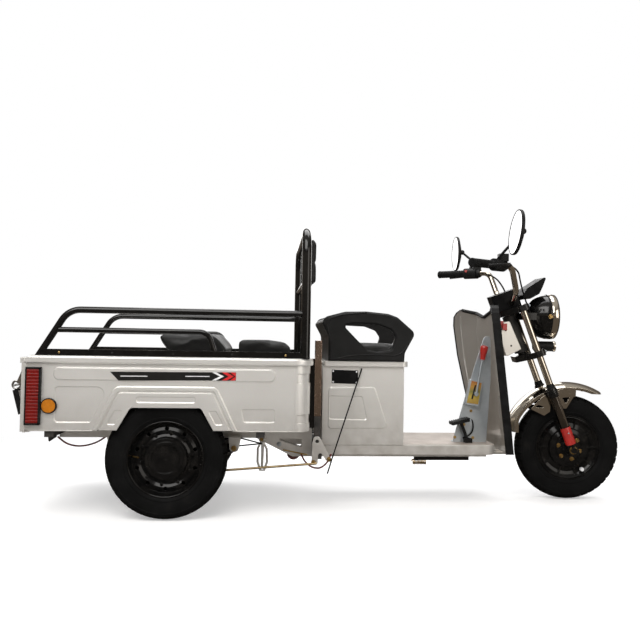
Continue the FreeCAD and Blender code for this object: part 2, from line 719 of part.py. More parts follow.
def build_tub():
    skin = tub_ring(0, TUB_WALL, TUB_BOTTOM_Z, TUB_TOP_Z - RIM_DEPTH, TUB_REAR_X, TUB_FRONT_X)
    shell = joined([skin, tub_rim()])
    reach = TUB_HALF_W + 50
    front_part = block(TUB_JOIN_X, TUB_FRONT_X + 50, -reach, reach, TUB_BOTTOM_Z - 50, TUB_TOP_Z + 50)
    side_part = block(TUB_REAR_X - 50, TUB_JOIN_X, 0, reach, TUB_BOTTOM_Z - 50, TUB_TOP_Z + 50)
    front = shell.common(front_part)
    for low, high in ((TUB_BOTTOM_Z + 24, TUB_BOTTOM_Z + 54), (TUB_TOP_Z - 85, TUB_TOP_Z - 52)):
        front = front.cut(tub_ring(2, PANEL_DEPTH + 2, low, high, TUB_JOIN_X + 8, TUB_FRONT_X + 2))
    store("tub_front", front)
    skin_y = TUB_HALF_W - TUB_WALL
    well_outer = block(-WELL_X, WELL_X, WELL_INNER_Y, skin_y, TUB_BOTTOM_Z, WELL_TOP_Z)
    well_inner = block(-WELL_X + WELL_WALL, WELL_X - WELL_WALL, WELL_INNER_Y + WELL_WALL, skin_y + 1,
                       TUB_BOTTOM_Z - 1, WELL_TOP_Z - WELL_WALL)
    post_low_z = TUB_BOTTOM_Z - TAIL_POST_DROP
    post_top_z = TUB_TOP_Z - RIM_DEPTH
    tail_post = block(TUB_REAR_X, TUB_REAR_X + TAIL_POST_W, skin_y - 20, skin_y, post_low_z, post_top_z)
    corner_strip = block(TUB_REAR_X, TUB_REAR_X + CORNER_STRIP_W, skin_y, TUB_HALF_W + CORNER_STRIP_T,
                         post_low_z, post_top_z)
    strip, sunk = side_fields()
    side = joined([shell.common(side_part), well_outer.cut(well_inner), tail_post, corner_strip, strip]
                  + arch_band())
    arch = side_slab(arch_corners(), skin_y - 1, TUB_HALF_W + RIDGE_PROUD + 5)
    side = side.cut([arch] + sunk + flange_fields())
    store("tub_side_left", side)
    store("tub_side_right", mirrored(side))
    floor_rear_x = TUB_REAR_X + TAIL_POST_W
    floor = plan_slab([(floor_rear_x, -TUB_HALF_W, 0), (TUB_FRONT_X, -TUB_HALF_W, TUB_CORNER_R),
                       (TUB_FRONT_X, TUB_HALF_W, TUB_CORNER_R), (floor_rear_x, TUB_HALF_W, 0)],
                      FLOOR_LOW_Z, TUB_BOTTOM_Z)
    wells = [side_block(sign, -WELL_X, WELL_X, WELL_INNER_Y, reach, FLOOR_LOW_Z - 1, TUB_BOTTOM_Z + 1)
             for sign in (-1, 1)]
    store("tub_floor", floor.cut(wells))


def rail_leg_and_top():
    """Slanted rear leg bent into the top rail, seated on the tub's rim and against the hoop."""
    start = at(RAIL_FOOT_X - 10, RAIL_Y, TUB_TOP_Z - 16)
    bend = at(RAIL_REAR_X, RAIL_Y, TOP_RAIL_Z)
    end = at(HOOP_X, RAIL_Y, TOP_RAIL_Z)
    bar = bent_bar([start, bend, end], [0, 70, 0], RAIL_R)
    below = block(RAIL_FOOT_X - 60, RAIL_FOOT_X + 60, RAIL_Y - 40, RAIL_Y + 40, TUB_TOP_Z - 60, TUB_TOP_Z)
    return bar.cut(below)


def hoop_bar():
    """Tall hoop with a cross bar, and two flat straps that the back cushion is screwed to."""
    top = HOOP_TOP_Z
    points = [at(HOOP_X, -RAIL_Y, TUB_TOP_Z), at(HOOP_X, -RAIL_Y, top), at(HOOP_X, RAIL_Y, top),
              at(HOOP_X, RAIL_Y, TUB_TOP_Z)]
    bar = bent_bar(points, [0, HOOP_BEND_R, HOOP_BEND_R, 0], HOOP_R)
    pieces = [bar, rod(at(HOOP_X, -RAIL_Y, HOOP_BAR_Z), at(HOOP_X, RAIL_Y, HOOP_BAR_Z), HOOP_BAR_R)]
    for middle in (-HOOP_STRAP_Y, HOOP_STRAP_Y):
        pieces.append(block(HOOP_X, HOOP_X + HOOP_R, middle - HOOP_STRAP_W / 2, middle + HOOP_STRAP_W / 2,
                            HOOP_BAR_Z, HOOP_TOP_Z))
    return joined(pieces)


def build_rails():
    hoop = hoop_bar()
    store("hoop", hoop)
    leg = rail_leg_and_top().cut(hoop)
    store("top_rails", both_sides(leg))
    base_top_z = TUB_TOP_Z + BASE_RAIL_H
    half = BASE_RAIL_W / 2
    base = block(RAIL_FOOT_X, HOOP_X, RAIL_Y - half, RAIL_Y + half, TUB_TOP_Z, base_top_z)
    base = max(base.cut(leg).cut(hoop).Solids, key=lambda piece: piece.Volume)
    store("base_rails", both_sides(base))
    climbed = (LOWER_RAIL_Z - TUB_TOP_Z) / (TOP_RAIL_Z - TUB_TOP_Z)
    rear_x = RAIL_FOOT_X + (RAIL_REAR_X - RAIL_FOOT_X) * climbed
    points = [at(rear_x, RAIL_Y, LOWER_RAIL_Z), at(LOWER_RAIL_BEND_X, RAIL_Y, LOWER_RAIL_Z),
              at(LOWER_RAIL_BEND_X + 30, RAIL_Y, TUB_TOP_Z)]
    lower = bent_bar(points, [0, 40, 0], LOWER_RAIL_R)
    below = block(LOWER_RAIL_BEND_X - 60, LOWER_RAIL_BEND_X + 90, RAIL_Y - 30, RAIL_Y + 30,
                  TUB_TOP_Z - 50, base_top_z)
    lower = max(lower.cut(leg).cut(below).Solids, key=lambda piece: piece.Volume)
    store("lower_rails", both_sides(lower))


def build_back_cushion():
    back_x = HOOP_X + HOOP_R + SEAT_GAP
    low = BACK_CUSHION_LOW_Z
    top = BACK_CUSHION_TOP_Z
    front_x = back_x + BACK_CUSHION_T
    cushion = side_slab([(back_x, low, 4), (front_x - 10, low, 8), (front_x, low + 20, 8),
                         (front_x, top - 12, 8), (front_x - 10, top, 8), (back_x, top, 4)],
                        -BACK_CUSHION_HALF_W, BACK_CUSHION_HALF_W)
    store("back_cushion", cushion)


def build_bench():
    """Folded passenger bench standing on the tub floor."""
    legs = []
    frame_top_z = BENCH_FRAME_Z
    frame_low_z = frame_top_z - BENCH_LEG
    half = BENCH_LEG / 2
    for leg_x in (BENCH_REAR_X + 60, BENCH_FRONT_X - 40):
        for leg_y in (-BENCH_LEG_Y, BENCH_LEG_Y):
            legs.append(block(leg_x - half, leg_x + half, leg_y - half, leg_y + half,
                              TUB_BOTTOM_Z, frame_top_z))
        legs.append(block(leg_x - half, leg_x + half, -BENCH_LEG_Y, BENCH_LEG_Y, frame_low_z, frame_top_z))
    for leg_y in (-BENCH_LEG_Y, BENCH_LEG_Y):
        legs.append(block(BENCH_REAR_X + 20, BENCH_FRONT_X - 20, leg_y - half, leg_y + half,
                          frame_low_z, frame_top_z))
    store("bench_frame", joined(legs))
    low = frame_top_z + SEAT_GAP
    panel_top = low + BENCH_PANEL_H
    panel = side_slab([(BENCH_REAR_X + 47, low, 0), (BENCH_REAR_X, panel_top, 6),
                       (BENCH_SPLIT_X - 66, panel_top, 50), (BENCH_SPLIT_X - 8, low, 6)],
                      -BENCH_HALF_W, BENCH_HALF_W)
    store("bench_back", panel)
    cushion_top = low + BENCH_CUSHION_H
    cushion = side_slab([(BENCH_SPLIT_X + 8, low, 6), (BENCH_SPLIT_X + 8, cushion_top, 12),
                         (BENCH_SPLIT_X + 80, cushion_top, 30), (BENCH_FRONT_X - 4, cushion_top - 18, 10),
                         (BENCH_FRONT_X, low, 6)], -BENCH_HALF_W, BENCH_HALF_W)
    store("bench_cushion", cushion)


def build_lamps_on_tub():
    """Ribbed upright tail lamps beside the corner strips, and round side reflectors."""
    face = TUB_HALF_W
    rear_x = TUB_REAR_X + CORNER_STRIP_W + SEAT_GAP
    front_x = TUB_REAR_X + 54
    low_z = TUB_BOTTOM_Z + 21
    top_z = TUB_TOP_Z - 43
    lamp = side_slab([(rear_x, low_z, 8), (rear_x, top_z, 8), (front_x, top_z, 12), (front_x, low_z, 12)],
                     face, face + 14)
    outer_edges = [edge for edge in lamp.Edges if min(point.Point.y for point in edge.Vertexes) > face + 13]
    lamp = lamp.makeFillet(4, outer_edges)
    rib_count = 13
    pitch = (top_z - low_z - 24) / rib_count
    grooves = []
    for number in range(rib_count):
        groove_z = low_z + 12 + pitch * (number + 0.5)
        grooves.append(block(front_x - 24, front_x - 4, face + 12.5, face + 15, groove_z - 2, groove_z + 2))
    store("tail_lamps", both_sides(lamp.cut(grooves)))
    reflector = Part.makeCone(26, 22, 7, at(TUB_REAR_X + 81, face, TUB_BOTTOM_Z + 79), Y_AXIS)
    store("side_reflectors", both_sides(reflector))


def build_tailgate():
    """Pressed drop gate with ribs, hinge knuckles at its foot and rubber toggle latches."""
    front_x = TUB_REAR_X - 0.5
    rear_x = front_x - TAILGATE_T
    plate = block(rear_x, front_x, -TUB_HALF_W, TUB_HALF_W, GATE_HINGE_Z + 2, TUB_TOP_Z - 8)
    lip = block(rear_x - 5, front_x, -TUB_HALF_W, TUB_HALF_W, TUB_TOP_Z - 26, TUB_TOP_Z - 8)
    rib_y = TUB_HALF_W - 90
    ribs = []
    for height in (46, 106, 166):
        rib_z = TUB_BOTTOM_Z + height
        ribs.append(block(rear_x - 5, rear_x, -rib_y, rib_y, rib_z, rib_z + 18))
    knuckles = []
    notches = []
    for sign in (-1, 1):
        knuckles.append(rod(at(GATE_HINGE_X, sign * (GATE_HINGE_Y - 20), GATE_HINGE_Z),
                            at(GATE_HINGE_X, sign * (GATE_HINGE_Y + 20), GATE_HINGE_Z), GATE_HINGE_R))
        notches.append(side_block(sign, rear_x - 1, front_x + 1, GATE_HINGE_Y + 20, GATE_HINGE_Y + 44,
                                  GATE_HINGE_Z, GATE_HINGE_Z + GATE_HINGE_R + 6))
    gate = joined([plate, lip] + ribs).cut(notches)
    store("tailgate", joined([gate] + knuckles))
    near = LATCH_Y - 10
    far = LATCH_Y + 10
    grip_low_z = TUB_BOTTOM_Z + 48
    ring_z = TUB_BOTTOM_Z + 152
    grip = side_slab([(rear_x - 14, grip_low_z, 4), (rear_x - 34, ring_z - 26, 6),
                      (rear_x - 20, ring_z - 22, 6), (rear_x, grip_low_z + 12, 4)], near, far)
    ring = Part.makeTorus(13, 3.5, at(rear_x - 28, LATCH_Y, ring_z - 8), Y_AXIS)
    strap = side_slab([(rear_x - 26, ring_z, 3), (rear_x - 6, ring_z + 50, 4), (rear_x, ring_z + 50, 0),
                       (rear_x, ring_z + 16, 0), (rear_x - 14, ring_z - 6, 3)], near, far)
    foot = block(rear_x - 12, rear_x, near, far, ring_z - 24, ring_z + 6)
    store("tailgate_latches", both_sides(joined([grip, ring, strap, foot])))


def pan_outline(inset, corner_r):
    """Plan view of the footboard, drawn in by inset everywhere but at its open rear end."""
    half = FOOT_HALF_W - inset
    front_x = FOOT_FRONT_X - inset
    return [(FOOT_REAR_X, -half, 0), (front_x, -half, corner_r), (front_x, half, corner_r),
            (FOOT_REAR_X, half, 0)]


def footboard():
    side_low_z = FOOT_TOP_Z - FOOT_SIDE_H
    pan = plan_slab(pan_outline(0, FOOT_CORNER_R), side_low_z, FOOT_TOP_Z)
    hollow = plan_slab(pan_outline(FOOT_WALL, FOOT_CORNER_R - FOOT_WALL),
                       side_low_z - 1, FOOT_TOP_Z - FOOT_WALL)
    return pan.cut(hollow)


def build_footboard():
    store("footboard", footboard())


def build_seat_box():
    """Sheet-steel box with a framed field pressed into each side and the fixed lid hinge."""
    outer = block(BOX_REAR_X, BOX_FRONT_X, -BOX_HALF_W, BOX_HALF_W, FOOT_TOP_Z, BOX_TOP_Z)
    inner = block(BOX_REAR_X + BOX_WALL, BOX_FRONT_X - BOX_WALL, BOX_WALL - BOX_HALF_W,
                  BOX_HALF_W - BOX_WALL, FOOT_TOP_Z + BOX_WALL, BOX_TOP_Z + 1)
    # Side field, from the box's rear lower edge: along x, up z, corner radius
    frame = shifted([(21, 58, 14), (21, 210, 14), (192, 212, 14), (243, 61, 14)], BOX_REAR_X, FOOT_TOP_Z)
    field = shifted([(23, 90, 12), (21, 182, 12), (149, 180, 12), (170, 88, 12)], BOX_REAR_X, FOOT_TOP_Z)
    panel = raised_field(frame, BOX_HALF_W, 3).cut(sunk_field(inset_outline(field, 2), BOX_HALF_W + 3, 2))
    pieces = [outer.cut(inner), panel, mirrored(panel)]
    near = SEAT_HINGE_Y + 2
    far = near + 20
    for sign in (-1, 1):
        pieces.append(rod(at(SEAT_HINGE_X, sign * near, SEAT_HINGE_Z),
                          at(SEAT_HINGE_X, sign * far, SEAT_HINGE_Z), SEAT_HINGE_R))
        pieces.append(side_block(sign, BOX_REAR_X - 5, BOX_REAR_X, near, far, BOX_TOP_Z - 40, BOX_TOP_Z + 6))
    store("seat_box", joined(pieces))
    floor_z = FOOT_TOP_Z + BOX_WALL
    store("battery", block(BOX_REAR_X + 30, BOX_FRONT_X - 30, 30 - BOX_HALF_W, BOX_HALF_W - 30,
                           floor_z, floor_z + BATTERY_H))


# Driver seat seen from the side, from the box's rear edge and the lid's top: along x, up z, corner radius
SEAT_OUTLINE = (
    (18, 0, 0), (18, 92, 24), (-8, 139, 12), (8, 161, 20), (77, 180, 60), (155, 182, 80), (235, 175, 60),
    (270, 163, 40), (338, 105, 22), (299, 32, 30), (297, 0, 0),
)
ARMREST_HOLE = (
    (71, 130, 8), (115, 137, 40), (200, 134, 40), (246, 117, 20), (264, 90, 14), (249, 42, 14),
    (200, 36, 30), (161, 42, 20), (125, 75, 40),
)
SEAT_BACK = (
    (18, 0, 0), (18, 92, 24), (-8, 139, 12), (8, 161, 14), (26, 148, 8), (44, 96, 20), (44, 0, 0),
)
SEAT_PAD = (
    (45, 0, 0), (51, 68, 20), (165, 62, 60), (287, 59, 24), (293, 0, 6),
)


def build_seat():
    """Lid with its hinge half, moulded seat shell with open armrests, and the pad between them."""
    half = BOX_HALF_W + 10
    lid_rear_x = BOX_REAR_X + 5
    lid_front_x = BOX_FRONT_X + LID_LIP
    lid = plan_slab([(lid_rear_x, -half, 6), (lid_front_x, -half, 20), (lid_front_x, half, 20),
                     (lid_rear_x, half, 6)], LID_LOW_Z, LID_TOP_Z)
    pieces = [lid]
    near = SEAT_HINGE_Y - 30
    for sign in (-1, 1):
        pieces.append(rod(at(SEAT_HINGE_X, sign * near, SEAT_HINGE_Z),
                          at(SEAT_HINGE_X, sign * SEAT_HINGE_Y, SEAT_HINGE_Z), SEAT_HINGE_R))
        pieces.append(side_block(sign, SEAT_HINGE_X, lid_rear_x + 5, near, SEAT_HINGE_Y,
                                 SEAT_HINGE_Z, SEAT_HINGE_Z + SEAT_HINGE_R))
    store("seat_lid", joined(pieces))
    inner_y = SEAT_HALF_W - SEAT_SIDE_T
    outline = shifted(SEAT_OUTLINE, BOX_REAR_X, LID_TOP_Z)
    hole = shifted(ARMREST_HOLE, BOX_REAR_X, LID_TOP_Z)
    round_r = 6
    side = side_slab(outline, inner_y, SEAT_HALF_W - round_r)
    crown = drafted(outline, SEAT_HALF_W - round_r, inset_outline(outline, round_r), SEAT_HALF_W)
    mouth = drafted(inset_outline(hole, -round_r), SEAT_HALF_W, hole, SEAT_HALF_W - round_r)
    side = joined([side, crown]).cut([side_slab(hole, inner_y - 1, SEAT_HALF_W), mouth])
    back = side_slab(shifted(SEAT_BACK, BOX_REAR_X, LID_TOP_Z), -inner_y, inner_y)
    store("driver_seat", joined([side, mirrored(side), back]))
    pad_half = inner_y - SEAT_GAP
    store("seat_pad", side_slab(shifted(SEAT_PAD, BOX_REAR_X, LID_TOP_Z + SEAT_GAP), -pad_half, pad_half))


def build_seat_posts():
    """Square posts between tub and box, tall on the right, and the plates screwed to their feet."""
    half = POST_W / 2
    low_z = LOW_RAIL_Z + FRAME_RAIL_H
    right = block(POST_X - half, POST_X + half, -POST_Y - half, half - POST_Y, low_z, RIGHT_POST_TOP_Z)
    left = block(POST_X - half, POST_X + half, POST_Y - half, POST_Y + half, low_z, LEFT_POST_TOP_Z)
    store("seat_posts", Part.makeCompound([right, left]))
    # Two-legged plate, from the post's axis and the low frame rail: along x, up z, corner radius
    corners = shifted([(-19, -17, 5), (3, -17, 5), (4, 16, 8), (14, 26, 8), (32, -4, 3), (53, -7, 6),
                       (17, 64, 10), (8, 80, 9), (-11, 80, 9), (-17, 58, 8)], POST_X, LOW_RAIL_Z)
    bracket = side_slab(corners, BRACKET_OUTER_Y - BRACKET_T, BRACKET_OUTER_Y)
    hole_z = LOW_RAIL_Z + 63
    hole = rod(at(POST_X, BRACKET_OUTER_Y - BRACKET_T - 1, hole_z), at(POST_X, BRACKET_OUTER_Y + 1, hole_z),
               BRACKET_HOLE_R)
    store("pivot_brackets", both_sides(bracket.cut(hole)))


# Edge of a shield wing: height over the footboard, x behind the riser's foot, half-width at the
# edge, half-width where the wing bends off the middle
SHIELD_ROWS = (
    (-33, -61, 186, 100),
    (187, -103, 240, 108),
    (327, -128, 266, 112),
    (452, -144, 274, 112),
    (489, -146, 262, 106),
    (507, -141, 240, 100),
    (519, -133, 206, 96),
)
SHIELD_DIP = 38.0          # of the top edge at the middle


def riser_rear_x(z):
    lean = (RISER_TOP_X - RISER_FRONT_X) / (RISER_TOP_Z - RISER_LOW_Z)
    return RISER_FRONT_X - RISER_DEPTH + lean * (z - RISER_LOW_Z)


def shield_rows():
    """Rows of z, edge x, edge half-width and middle half-width."""
    return [(FOOT_TOP_Z + up, RISER_FRONT_X + back, edge_y, mid_y) for up, back, edge_y, mid_y in SHIELD_ROWS]


def shield_section(z, edge_x, edge_y, mid_y):
    mid_x = riser_rear_x(z) - SHIELD_T
    points = [at(edge_x, -edge_y, z), at(mid_x, -mid_y, z), at(mid_x, mid_y, z), at(edge_x, edge_y, z),
              at(edge_x + SHIELD_T, edge_y, z), at(mid_x + SHIELD_T, mid_y, z),
              at(mid_x + SHIELD_T, -mid_y, z), at(edge_x + SHIELD_T, -edge_y, z)]
    return Part.makePolygon(points + [points[0]])


def shield_sheet():
    return Part.makeLoft([shield_section(*row) for row in shield_rows()], True, True)


def edge_trim():
    """Forward-turned edge flange of the left wing."""
    sections = []
    for z, edge_x, edge_y, mid_y in shield_rows():
        points = [at(edge_x - 2, edge_y - 3, z), at(edge_x - 2, edge_y + TRIM_T - 3, z),
                  at(edge_x - 2 + TRIM_W, edge_y + TRIM_T - 3, z), at(edge_x - 2 + TRIM_W, edge_y - 3, z)]
        sections.append(Part.makePolygon(points + [points[0]]))
    return Part.makeLoft(sections, True, True)


def top_trim():
    """Bar along the shield's dipped top edge."""
    z, edge_x, edge_y, mid_y = shield_rows()[-1]
    mid_x = riser_rear_x(z) - SHIELD_T / 2
    shoulder_z = z - SHIELD_DIP / 2
    points = [at(edge_x + 8, edge_y - 1, z - 3), at(mid_x, mid_y, shoulder_z), at(mid_x, 0, z - SHIELD_DIP),
              at(mid_x, -mid_y, shoulder_z), at(edge_x + 8, 1 - edge_y, z - 3)]
    return bent_bar(points, [0, 30, 40, 30, 0], TOP_TRIM_R)


def wing_bead():
    """Stiffening bead pressed along the left wing, inside its edge."""
    points = []
    for z, edge_x, edge_y, mid_y in shield_rows()[1:5]:
        mid_x = riser_rear_x(z) - SHIELD_T
        points.append(at(edge_x + BEAD_SHARE * (mid_x - edge_x), edge_y + BEAD_SHARE * (mid_y - edge_y), z))
    return bent_bar(points, [0, 200, 200, 0], BEAD_R)


def build_shield():
    z, edge_x, edge_y, mid_y = shield_rows()[-1]
    dip = [at(edge_x - 100, edge_y + 20, z + 3), at(edge_x - 100, mid_y, z - SHIELD_DIP / 2),
           at(edge_x - 100, 0, z - SHIELD_DIP), at(edge_x - 100, -mid_y, z - SHIELD_DIP / 2),
           at(edge_x - 100, -edge_y - 20, z + 3), at(edge_x - 100, -edge_y - 20, z + 50),
           at(edge_x - 100, edge_y + 20, z + 50)]
    above = Part.Face(Part.makePolygon(dip + [dip[0]])).extrude(at(300, 0, 0))
    wing = edge_trim()
    trim = joined([wing, mirrored(wing), top_trim()])
    pan = plan_slab(pan_outline(0, FOOT_CORNER_R), 100, FOOT_TOP_Z)
    trim = trim.cut(pan)
    store("shield_trim", trim)
    bead = wing_bead()
    sheet = joined([shield_sheet().cut([above, pan]), bead, mirrored(bead)])
    store("leg_shield", sheet.cut(trim))


def head_tube():
    low = fork_point(0, 0, LOWER_CLAMP_W + CLAMP_T + 6)
    high = fork_point(0, 0, UPPER_CLAMP_W - 6)
    return rod(low, high, HEAD_TUBE_R)


def build_headstock():
    """Leaning riser behind the wheel, its gusset box, and the bored head tube the box holds."""
    riser = side_slab([(RISER_FRONT_X, RISER_LOW_Z, 0), (RISER_TOP_X, RISER_TOP_Z, 0),
                       (RISER_TOP_X - RISER_DEPTH, RISER_TOP_Z, 0),
                       (RISER_FRONT_X - RISER_DEPTH, RISER_LOW_Z, 0)], -RISER_HALF_W, RISER_HALF_W)
    foot = block(FRAME_FRONT_X - 40, RISER_FRONT_X - 10, -60, 60, RISER_LOW_Z, LOW_RAIL_Z)
    # Gusset box beside the head tube: u, w, corner radius
    gusset_rows = [(-66, UPPER_CLAMP_W - 16, 6), (-13, UPPER_CLAMP_W - 24, 6), (-6, LOWER_CLAMP_W + 44, 4),
                   (-74, LOWER_CLAMP_W + 36, 8)]
    gusset = in_fork(side_slab(gusset_rows, -GUSSET_HALF_W, GUSSET_HALF_W))
    tube = head_tube()
    bore = rod(fork_point(0, 0, LOWER_CLAMP_W), fork_point(0, 0, HEAD_TOP_W), STEM_R + AXLE_FIT)
    store("head_tube", tube.cut(bore))
    store("headstock", joined([riser, foot, gusset]).cut(tube))


def build_controls():
    """Lever stand, shift lever with knob, and brake pedal on the footboard."""
    foot_x = RISER_FRONT_X
    top = FOOT_TOP_Z
    # Rows from the riser's foot and the footboard's top: along x, up z, corner radius
    stand_rows = shifted([(-242, 0, 0), (-190, 187, 14), (-121, 405, 16), (-97, 405, 10), (-95, 247, 20),
                          (-111, 0, 0)], foot_x, top)
    gate_rows = shifted([(-178, 242, 4), (-131, 230, 4), (-145, 137, 4), (-199, 145, 4)], foot_x, top)
    stand = side_slab(stand_rows, -96, -92)
    foot = block(foot_x - 242, foot_x - 111, -96, -70, top, top + 4)
    gate = side_slab(gate_rows, -112, -96)
    store("control_stand", joined([stand, foot, gate]).cut(shield_sheet()))
    lever = rod(at(foot_x - 158, -120, top + 185), at(foot_x - 134, -120, top + 325), 4)
    knob = Part.makeCone(8, 14, 46, at(foot_x - 135, -120, top + 318), at(6, 0, 44))
    pivot = rod(at(foot_x - 158, -112, top + 185), at(foot_x - 158, -125, top + 185), 8)
    store("shift_lever", joined([lever, knob, pivot]))
    arm = bent_bar([at(foot_x - 187, -110, top + 9), at(foot_x - 204, -110, top + 52),
                    at(foot_x - 216, -110, top + 82)], [0, 20, 0], 6)
    pad_rows = shifted([(-256, 68, 3), (-188, 84, 3), (-190, 95, 3), (-258, 79, 3)], foot_x, top)
    pad = side_slab(pad_rows, -146, -98)
    mount = block(foot_x - 201, foot_x - 173, -125, -100, top, top + 17)
    store("brake_pedal", joined([arm, pad, mount]))


def build_brake_rods():
    """Right-hand pull rod from the axle lever to the plate under the post, and a pedal bar."""
    points = [at(BRAKE_LEVER_X, -BRAKE_ROD_Y, BRAKE_LEVER_Z), at(120, -BRAKE_ROD_Y, BRAKE_LEVER_Z + 4),
              at(POST_X - 1, -BRAKE_ROD_Y, LOW_RAIL_Z - 14)]
    link = bent_bar(points, [0, 60, 0], BRAKE_ROD_R)
    bar = block(880, 1082, 24 - BOX_HALF_W - 20, 28 - BOX_HALF_W, LOW_RAIL_Z - 12, LOW_RAIL_Z)
    store("brake_rods", Part.makeCompound([link, bar]))


def lead(points, radius):
    """Cord along its route, with arcs as large as the runs beside them allow."""
    radii = [0]
    for before, corner, after in zip(points, points[1:], points[2:]):
        back = before - corner
        onward = after - corner
        shorter = min(back.Length, onward.Length)
        radii.append(LEAD_REACH * shorter * math.tan(back.getAngle(onward) / 2))
    radii.append(0)
    return bent_bar(points, radii, radius)


def build_leads():
    """Sagging leads under the tail and the step, and the thin stay beside the seat box."""
    tail = lead([at(-390, -199, HIGH_RAIL_Z + 6), at(-364, -190, HIGH_RAIL_Z - 19),
                 at(-332, -181, HIGH_RAIL_Z - 30), at(-298, -174, HIGH_RAIL_Z - 29),
                 at(-262, -166, HIGH_RAIL_Z - 18), at(-233, -160, HIGH_RAIL_Z + 2)], LEAD_R)
    pan_foot = at(FOOT_REAR_X + 27, 1 - FOOT_HALF_W, FOOT_TOP_Z - FOOT_SIDE_H + 2)
    step = lead([at(462, -FRAME_RAIL_OUTER_Y, LOW_RAIL_Z + 8), at(474, -186, 174), at(500, -192, 154),
                 at(530, -191, 150), at(555, -185, 168), pan_foot], LEAD_R)
    rail = mirrored(frame_rail())
    store("red_leads", Part.makeCompound([tail.cut(rail), step.cut([rail, footboard()])]))
    stay_y = BRACKET_OUTER_Y + STAY_ROD_R
    stay = bent_bar([at(BOX_REAR_X + 143, -BOX_HALF_W - STAY_ROD_R, BOX_TOP_Z - 7),
                     at(POST_X + 56, -stay_y, LOW_RAIL_Z + 10), at(POST_X + 38, -stay_y, LOW_RAIL_Z - 50)],
                    [0, 60, 0], STAY_ROD_R)
    store("stay_rod", stay)


def triple_clamps():
    stem_low = LOWER_CLAMP_W + 2
    stem_high = UPPER_CLAMP_W + 2
    pieces = [rod(at(0, 0, stem_low), at(0, 0, stem_high), STEM_R)]
    wing_y = LEG_Y + 28
    for w0 in (LOWER_CLAMP_W, UPPER_CLAMP_W):
        plate = plan_slab([(-40, -34, 14), (20, -wing_y, 16), (66, -wing_y, 16), (66, wing_y, 16),
                           (20, wing_y, 16), (-40, 34, 14)], w0, w0 + CLAMP_T)
        pieces.append(plate)
    return joined(pieces).cut(fork_legs(TUBE_R))


def fork_legs(radius):
    """Both fork legs as long plain rods in fork axes."""
    low = at(LEG_U, LEG_Y, LOWER_CLAMP_W - 85)
    high = at(LEG_U, LEG_Y, HEAD_TOP_W + 100)
    return both_sides(rod(low, high, radius))


def build_triple_clamps():
    store("triple_clamps", steered(in_fork(triple_clamps())))


def build_fork():
    """Chrome tubes held by the clamps, and sliders with covers, foot lugs and the wheel axle."""
    tubes = both_sides(rod(at(LEG_U, LEG_Y, COLLAR_W + 1), at(LEG_U, LEG_Y, HEAD_TOP_W), TUBE_R))
    store("fork_tubes", steered(in_fork(tubes)))
    slider = rod(at(LEG_U, LEG_Y, 20), at(LEG_U, LEG_Y, COLLAR_W), SLIDER_R)
    collar = rod(at(LEG_U, LEG_Y, COLLAR_W - 34), at(LEG_U, LEG_Y, COLLAR_W), SLIDER_R + 3)
    cover = rod(at(LEG_U, LEG_Y, COVER_LOW_W), at(LEG_U, LEG_Y, COVER_HIGH_W), SLIDER_R + 3)
    foot = plan_slab([(LEG_U - 20, LEG_Y - 13, 5), (LEG_U + 20, LEG_Y - 13, 5), (LEG_U + 20, LEG_Y + 13, 5),
                      (LEG_U - 20, LEG_Y + 13, 5)], -22, COVER_LOW_W)
    leg = joined([slider, collar, cover, foot])
    axle_y = LEG_Y + 26
    axle = rod(at(FORK_OFFSET, -axle_y, 0), at(FORK_OFFSET, axle_y, 0), FRONT_AXLE_R)
    store("fork_sliders", steered(in_fork(joined([leg, mirrored(leg), axle]))))


def rim_ribs(centre):
    """Thin radial ribs across both faces of the front wheel's disc."""
    ribs = []
    for index in range(RIM_SLOTS):
        rib = block(centre.x + 72, centre.x + RIM_SEAT_R - 8, -22, 22, centre.z - 3, centre.z + 3)
        rib.rotate(centre, Y_AXIS, 360.0 * index / RIM_SLOTS)
        ribs.append(rib)
    return ribs


def build_front_wheel():
    centre = at(WHEELBASE, 0, TYRE_R)
    store("front_tyre", steered(tyre(centre)))
    half = TYRE_W / 2
    seat = RIM_SEAT_R
    bore = FRONT_AXLE_R + AXLE_FIT
    # Profile rows: radius and distance to the right of the wheel's mid-plane
    profile = [
        (bore, -50), (34, -50), (40, -30), (70, -26), (74, -20), (96, -14), (108, -18),
        (seat - RIM_WALL, 12 - half), (seat - RIM_WALL, 8 - half), (seat, 8 - half), (seat, half - 8),
        (seat - RIM_WALL, half - 8), (seat - RIM_WALL, half - 12), (108, 18), (96, 14), (78, 22),
        (74, 34), (60, 40), (30, 42), (28, 50), (bore, 50),
    ]
    rim = turned_ring([(r, -y) for r, y in profile], centre)
    store("front_rim", steered(joined([rim] + rim_ribs(centre))))


def fender_spot(angle, radius):
    """Point in the middle plane at an angle above the wheel's level front radius."""
    turn = math.radians(angle)
    return at(WHEELBASE + radius * math.cos(turn), 0, TYRE_R + radius * math.sin(turn))


def fender_path():
    """Crown line: an arc about the wheel, then a short bend into the upright tail."""
    crown = FENDER_R
    bend = FENDER_TAIL_BEND
    last = FENDER_TAIL_ANGLE
    bend_centre = fender_spot(last, crown - bend)
    middle_turn = math.radians((last + 180) / 2)
    middle = bend_centre + at(bend * math.cos(middle_turn), 0, bend * math.sin(middle_turn))
    upright_top = bend_centre + at(-bend, 0, 0)
    half_way = (FENDER_TIP_ANGLE + last) / 2
    start = fender_spot(FENDER_TIP_ANGLE, crown)
    edges = [
        Part.Arc(start, fender_spot(half_way, crown), fender_spot(last, crown)).toShape(),
        Part.Arc(fender_spot(last, crown), middle, upright_top).toShape(),
        Part.LineSegment(upright_top, at(upright_top.x, 0, FENDER_TAIL_Z)).toShape(),
    ]
    return Part.Wire(edges)


